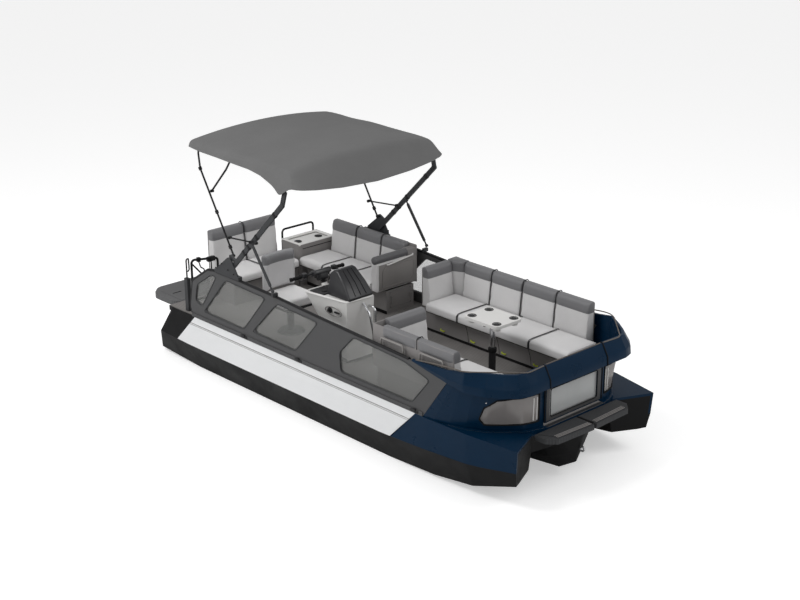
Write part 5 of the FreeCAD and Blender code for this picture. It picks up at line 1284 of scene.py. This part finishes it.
# %% Helm rim and key panel
helm_rim = ((-0.215, -0.895, 1.397), (0.376, -0.815, 1.397), (0.400, -0.452, 1.397), (-0.196, -0.342, 1.397))
key_x = 0.120
key_z = 1.255
recess_steps = 24
recess_middle = (0.180, -0.838, 1.252)
recess_half = (0.135, 0.048)
settle(bar(helm_rim, 0.013, bend=0.05, closed=True), "HelmRim", moulded_white)
key_parts = [disc((key_x, -0.838, key_z), 0.034, 0.012, axis="Y", round_edge=0.004),
             block((0.190, -0.842, 1.240), (0.270, -0.822, 1.258), 0.006)]
settle(join(key_parts), "KeyPanel", moulded_dark)
key_knob = disc((key_x, -0.850, key_z), 0.020, 0.026, axis="Y", round_edge=0.005)
settle(key_knob, "KeyKnob", rail_black)
recess = []
for step in range(recess_steps):
    angle = 2 * math.pi * step / recess_steps
    recess.append((recess_middle[0] + recess_half[0] * math.cos(angle), recess_middle[1],
                   recess_middle[2] + recess_half[1] * math.sin(angle)))
settle(bar(recess, 0.005, closed=True), "KeyRecess", trim_grey)

# %% Knee rail, dash and kick plate
helm_y = -0.600
knee_line = ((0.398, 1.352), (0.500, 1.255), (0.560, 1.040), (0.560, 0.930), (0.398, 0.880))
switch_count = 5
switch_step = 0.09
switch_width = 0.055
switch_start = -0.80
kick_plan = ((-0.062, -0.788), (0.338, -0.788), (0.374, -0.452), (-0.062, -0.428))
settle(bar([(x, helm_y, z) for x, z in knee_line], 0.0125, bend=0.05), "HelmKneeRail", steel)
settle(block((-0.190, -0.860, 1.398), (0.030, -0.400, 1.412), 0.008), "DashPanel", moulded_dark)
switches = []
for index in range(switch_count):
    y = switch_start + switch_step * index
    switches.append(block((-0.060, y, 1.410), (-0.020, y + switch_width, 1.422), 0.004))
settle(join(switches), "Switches", rail_black)
settle(plate([(x, y, deck_skin) for x, y in kick_plan], (0, 0, 0.055), 0.006), "HelmKick", rubber_black)

# %% [markdown]
# ## Handlebar dress
# Rubber grips with end collars, a thumb lever and switch pods sit on the swept bar, and a
# ribbed boot, a shroud and a crash pad dress the column. The bar leans back, so it is hard
# to place things in the boat's axes. They are placed in the bar's own frame instead: back
# along its rake, across the boat, and up the column.

# %% Grips and pods
rake = math.radians(25)
column_foot = Vector((-0.250, helm_y, 1.418))
column_up = Vector((-math.sin(rake), 0, math.cos(rake)))
column_back = Vector((-math.cos(rake), 0, -math.sin(rake)))
bar_rise = 0.130
tip_back = 0.070
tip_out = 0.370
knee_out = 0.1295
grip_ribs = 6
rib_start = 0.012
rib_step = 0.019
pod_place = 0.165


def on_bar(back, across, rise):
    return column_foot + column_up * rise + column_back * back + Vector((0, across, 0))


grips = []
pods = []
for side, word in both_sides:
    tip = on_bar(tip_back, tip_out * side, bar_rise)
    run = (on_bar(0.0, knee_out * side, bar_rise) - tip).normalized()
    grips.append(bar([tip - run * 0.003, tip + run * 0.125], 0.0185, sides=5))
    for step in range(grip_ribs):
        start = tip + run * (rib_start + rib_step * step)
        grips.append(bar([start, start + run * 0.007], 0.0205, sides=5))
    grips.append(bar([tip - run * 0.010, tip + run * 0.004], 0.024, sides=5))
    pod = tip + run * pod_place
    pods.append(block(pod - Vector((0.030, 0.030, 0.020)), pod + Vector((0.026, 0.030, 0.030)), 0.010, 3))
    lever = pod + Vector((0.03, 0, -0.006))
    lever_elbow = lever + Vector((0.045, 0.05 * side, -0.012))
    pods.append(bar([lever, lever_elbow, lever + Vector((0.028, 0.13 * side, -0.010))], 0.006, bend=0.02))
settle(join(grips), "Grips", rubber_black, "handlebar")
settle(join(pods), "SwitchPods", moulded_dark, "handlebar")

# %% Column boot, shroud and crash pad
boot_rings = 5
boot_start = 0.010
boot_step = 0.014
boot_radius = 0.038
boot_taper = 0.003


def lean_back(piece, rise):
    """Leans a piece made round the origin as the column leans, and sets it up the column."""
    piece.rotation_euler = (0, -rake, 0)
    piece.location = on_bar(0, 0, rise)
    return piece


boot = []
for ring in range(boot_rings):
    foot = on_bar(0, 0, boot_start + boot_step * ring)
    boot.append(bar([foot, foot + column_up * 0.009], boot_radius - boot_taper * ring, sides=6))
settle(join(boot), "ColumnBoot", rubber_black, "handlebar")
shroud = lean_back(block((-0.050, -0.062, -0.042), (0.046, 0.062, 0.042), 0.020, 3), 0.078)
settle(shroud, "ColumnShroud", moulded_dark, "handlebar")
crash_pad = lean_back(block((-0.060, -0.120, -0.022), (0.052, 0.120, 0.040), 0.020, 4), 0.118)
settle(crash_pad, "CrashPad", hood_black, "handlebar")
cable_line = [on_bar(0.01, 0.10, 0.10), on_bar(-0.03, 0.09, 0.05), on_bar(-0.03, 0.05, 0.015)]
settle(bar(cable_line, 0.005, bend=0.03), "BarCable", rubber_black, "handlebar")

# %% [markdown]
# ## Sun top fittings
# Each pivot has a round cap over its pin, and each arm has clamp collars. They could be put
# in by eye, but they have to stay on their tubes, so each is placed by its share of the
# arm's or the leg's length. The caps ride on the bow that they belong to, and fold with it.

# %% Pivot caps
arm_foot = (-1.245, 1.452)
arm_run = (0.960, 0.948)
leg_foot = (-1.240, 1.605)
leg_run = (-0.699, 1.130)
strut_share = 0.455
mid_share = 0.587
link_share = 0.158


def arm_place(share):
    return (arm_foot[0] + arm_run[0] * share, arm_foot[1] + arm_run[1] * share)


def leg_place(share):
    return (leg_foot[0] + leg_run[0] * share, leg_foot[1] + leg_run[1] * share)


def caps(name, place, lane, radius, body, length=0.010):
    """On each side a flat cap with a smaller button on it."""
    pair = []
    for side, word in both_sides:
        button = (lane + length * 0.5 + 0.003) * side
        pair.append(disc((place[0], lane * side, place[1]), radius, length, axis="Y", round_edge=0.003))
        pair.append(disc((place[0], button, place[1]), radius * 0.5, 0.008, axis="Y", round_edge=0.002))
    settle(join(pair), name, rail_black, body)


caps("RearPivotCaps", leg_foot, 1.106, 0.020, "rear_bow")
caps("StrutPivotCaps", arm_place(strut_share), 1.180, 0.019, "front_struts")
caps("MidPivotCaps", leg_place(mid_share), 1.034, 0.019, "mid_bow")
caps("LinkPivotCaps", leg_place(link_share), 1.034, 0.018, "spreader_links")

# %% Clamp collars
collar_half = 0.020


def collars(name, start, end, lane, depth, width, body, shares):
    """Flat clamps round an arm: each one a short plate across the arm's line."""
    made = []
    run = Vector((end[0] - start[0], 0, end[1] - start[1])).normalized()
    cross = Vector((-run.z, 0, run.x))
    for share in shares:
        middle = Vector((start[0] + (end[0] - start[0]) * share, 0, start[1] + (end[1] - start[1]) * share))
        for side, word in both_sides:
            corners = []
            for along, up in ((-1, -depth), (1, -depth), (1, depth), (-1, depth)):
                point = middle + run * collar_half * along + cross * up
                corners.append((point.x, (lane - width) * side, point.z))
            made.append(plate(corners, (0, 2 * width * side, 0), 0.003))
    settle(join(made), name, rail_black, body)


collars("MainCollars", arm_place(0), arm_place(1), 1.125, 0.0315, 0.0165, "main_bow",
        (0.27, 0.36, 0.52, 0.86))
collars("RearCollars", leg_place(0), leg_place(1), 1.088, 0.017, 0.014, "rear_bow", (0.08, 0.40, 0.80))

# %% [markdown]
# ## Sleeves and bolts
# A sleeve joins the main bow's arm to its bend, another wraps each front strut, and bolts
# hold the rail brackets. A sleeve could be a thicker tube, but the real ones are flat
# castings, so they are plates with rounded edges.

# %% Sleeves
arm_lane = 1.125
sleeve_half = 0.0150
arm_bend = ((-0.3757, 2.3496), (-0.313, 2.411), (-0.305, 2.545), (-0.250, 2.545), (-0.257, 2.388),
            (-0.3365, 2.3098))
bend_start = 2.40
bend_lean = 0.26
sleeves = []
for side, word in both_sides:
    outline = [(x, (arm_lane - sleeve_half) * side, z) for x, z in arm_bend]
    sleeve = plate(outline, (0, 2 * sleeve_half * side, 0), 0.005)
    for vertex in sleeve.data.vertices:
        vertex.co.y -= max(0.0, vertex.co.z - bend_start) * bend_lean * side
    sleeves.append(sleeve)
settle(join(sleeves), "ArmSleeves", bow_grey, "main_bow")

strut_lane = 1.163
strut_half = 0.018
strut_thick = 0.019
strut_foot = Vector((-0.454, 0, 1.400))
strut_ends = ((0.08, -1), (0.90, -1), (0.90, 1), (0.08, 1))
strut_x, strut_z = arm_place(strut_share)
strut_top = Vector((strut_x, 0, strut_z))
strut_run = strut_foot - strut_top
strut_cross = Vector((-strut_run.z, 0, strut_run.x)).normalized() * strut_half
struts = []
for side, word in both_sides:
    corners = []
    for share, way in strut_ends:
        point = strut_top + strut_run * share + strut_cross * way
        corners.append((point.x, (strut_lane - strut_thick / 2) * side, point.z))
    struts.append(plate(corners, (0, strut_thick * side, 0), 0.004))
settle(join(struts), "StrutSleeves", bow_grey, "front_struts")

# %% Bracket bolts
bolt_lane = 1.176
bolt_places = ((-1.47, 1.425), (-1.36, 1.50), (-1.14, 1.425), (-1.245, 1.452))
bolts = [disc((x, bolt_lane * side, z), 0.011, 0.008, axis="Y", round_edge=0.002, vertices=12)
         for side, word in both_sides for x, z in bolt_places]
settle(join(bolts), "BracketBolts", rail_black)

# %% [markdown]
# ## Stern gate fittings
# A black hoop stands on the gate's post, and the gate carries its latch: two clamps on the
# top rail and a rod down to the middle bar. Bent bars and rounded blocks are the real
# thing's own forms. The latch rides on the gate, so that it swings with it.

# %% Gate latch
gate_x = -2.220
clamp_half = 0.022
clamp_wide_half = 0.024
latch_foot = 1.040
hoop_line = ((-1.063, 1.080), (-1.063, 1.312), (-1.030, 1.322), (-1.026, 1.180), (-1.050, 1.160))
latch_rod = ((-0.885, 1.25), (-0.860, 1.17), (-0.810, 1.14), (-0.810, latch_foot))
latch_bar = ((-0.705, 1.22), (-0.705, latch_foot))
settle(bar([(gate_x, y, z) for y, z in hoop_line], 0.009, bend=0.02), "GatePostHoop", rail_black)
latch = [block((gate_x - clamp_half, -0.905, 1.245), (gate_x + clamp_half, -0.865, 1.300), 0.005),
         block((gate_x - clamp_wide_half, -0.760, 1.215), (gate_x + clamp_wide_half, -0.655, 1.272), 0.006),
         bar([(gate_x, y, z) for y, z in latch_rod], 0.008, bend=0.02),
         bar([(gate_x, y, z) for y, z in latch_bar], 0.008)]
settle(join(latch), "GateLatch", rail_black, "stern_gate")

# %% [markdown]
# ## Floor and world
# A pale floor and a white surround give a studio look. The surround could simply be bright,
# but then it would wash out the boat. So it is white where the camera looks at it or
# through a pane, and dimmer where it lights the boat, and the floor gets a small lift for
# the camera alone and keeps the shadow.

# %% Floor
floor_size = 120
floor_drop = 0.002
floor_tone = (0.86, 0.86, 0.86, 1)
floor_lift = 0.42
white = (1, 1, 1, 1)
clear()
bpy.ops.mesh.primitive_plane_add(size=floor_size, location=(0, 0, -floor_drop))
floor = bpy.context.object
floor.name = "Floor"
floor_paint = bpy.data.materials.new("floor_paint")
floor_paint.use_nodes = True
tree = floor_paint.node_tree
floor_shader = tree.nodes["Principled BSDF"]
floor_values = {"Base Color": floor_tone, "Roughness": 0.9, "Specular IOR Level": 0.1,
                "Emission Color": white}
for socket, value in floor_values.items():
    floor_shader.inputs[socket].default_value = value
lift = node(tree, "ShaderNodeMath", operation="MULTIPLY")
lift.inputs[1].default_value = floor_lift
link(tree, node(tree, "ShaderNodeLightPath"), "Is Camera Ray", lift, 0)
link(tree, lift, "Value", floor_shader, "Emission Strength")
floor.data.materials.append(floor_paint)
print("floor", floor_size, "m wide")

# %% World
world_light = 0.54
world = bpy.data.worlds.new("Studio")
scene.world = world
world.use_nodes = True
tree = world.node_tree
background = tree.nodes["Background"]
background.inputs["Color"].default_value = white
rays = node(tree, "ShaderNodeLightPath")
seen = node(tree, "ShaderNodeMath", operation="MAXIMUM")
link(tree, rays, "Is Camera Ray", seen, 0)
link(tree, rays, "Is Transmission Ray", seen, 1)
level = node(tree, "ShaderNodeMapRange", To_Min=world_light, To_Max=1.0)
link(tree, seen, "Value", level, "Value")
link(tree, level, "Result", background, "Strength")
print("world light", world_light)

# %% [markdown]
# ## Lamps
# Five soft discs light the boat: a key lamp from above on the starboard side, a fill from
# ahead to port, weak ones in front and at the side, and a small one that lifts the shade
# under the sun top. One sun lamp would be simpler, but its shadows are hard, and the photo's
# are soft.

# %% Lamps
lamps = (
    ("Key", (-2.0, -6.0, 9.5), (0, 0, 1), 5.0, 430),
    ("Fill", (8.0, 4.0, 8.0), (0, 0, 1), 6.0, 255),
    ("Front", (8.5, -8.0, 5.0), (0.5, 0, 1.2), 5.0, 40),
    ("Side", (-2.0, -8.5, 3.2), (-1.0, 0, 1.2), 4.0, 100),
    ("Shade", (-1.2, -0.2, 2.45), (-1.2, 0, 1), 1.4, 9),
)
for name, place, target, size, power in lamps:
    data = bpy.data.lights.new(name, "AREA")
    data.shape = "DISK"
    data.size = size
    data.energy = power
    lamp = bpy.data.objects.new(name, data)
    scene.collection.objects.link(lamp)
    lamp.location = place
    lamp.rotation_euler = (Vector(target) - Vector(place)).to_track_quat("-Z", "Y").to_euler()
    lamp.visible_camera = False
print("lamps", len(lamps))

# %% [markdown]
# ## Camera
# The camera stands where the photograph was taken from: ahead of the bow, to starboard and
# well above. A track-to constraint could aim it, but it can't roll, so its turn is written
# as three directions: right, up and back, as columns of a matrix.

# %% Camera
azimuth = math.radians(47.25026)
height_angle = math.radians(20.12894)
roll = math.radians(-0.34947)
camera_place = (11.985, -10.771, 7.030)
focal_pixels = 1526.308
photo_width = 800
sensor_width = 36.0
view_end = 300
forward = Vector((-math.sin(azimuth) * math.cos(height_angle), math.cos(azimuth) * math.cos(height_angle),
                  -math.sin(height_angle)))
right = Vector((math.cos(azimuth), math.sin(azimuth), 0))
up = right.cross(forward)
right_rolled = right * math.cos(roll) + up * math.sin(roll)
up_rolled = up * math.cos(roll) - right * math.sin(roll)
camera_data = bpy.data.cameras.new("Photo camera")
camera_data.sensor_width = sensor_width
camera_data.lens = focal_pixels * sensor_width / photo_width
camera_data.clip_end = view_end
camera = bpy.data.objects.new("Photo camera", camera_data)
scene.collection.objects.link(camera)
turn = Matrix((right_rolled, up_rolled, -forward)).transposed().to_4x4()
camera.matrix_world = Matrix.Translation(camera_place) @ turn
scene.camera = camera
scene.view_settings.view_transform = "Standard"
print("lens", round(camera_data.lens, 2), "mm")
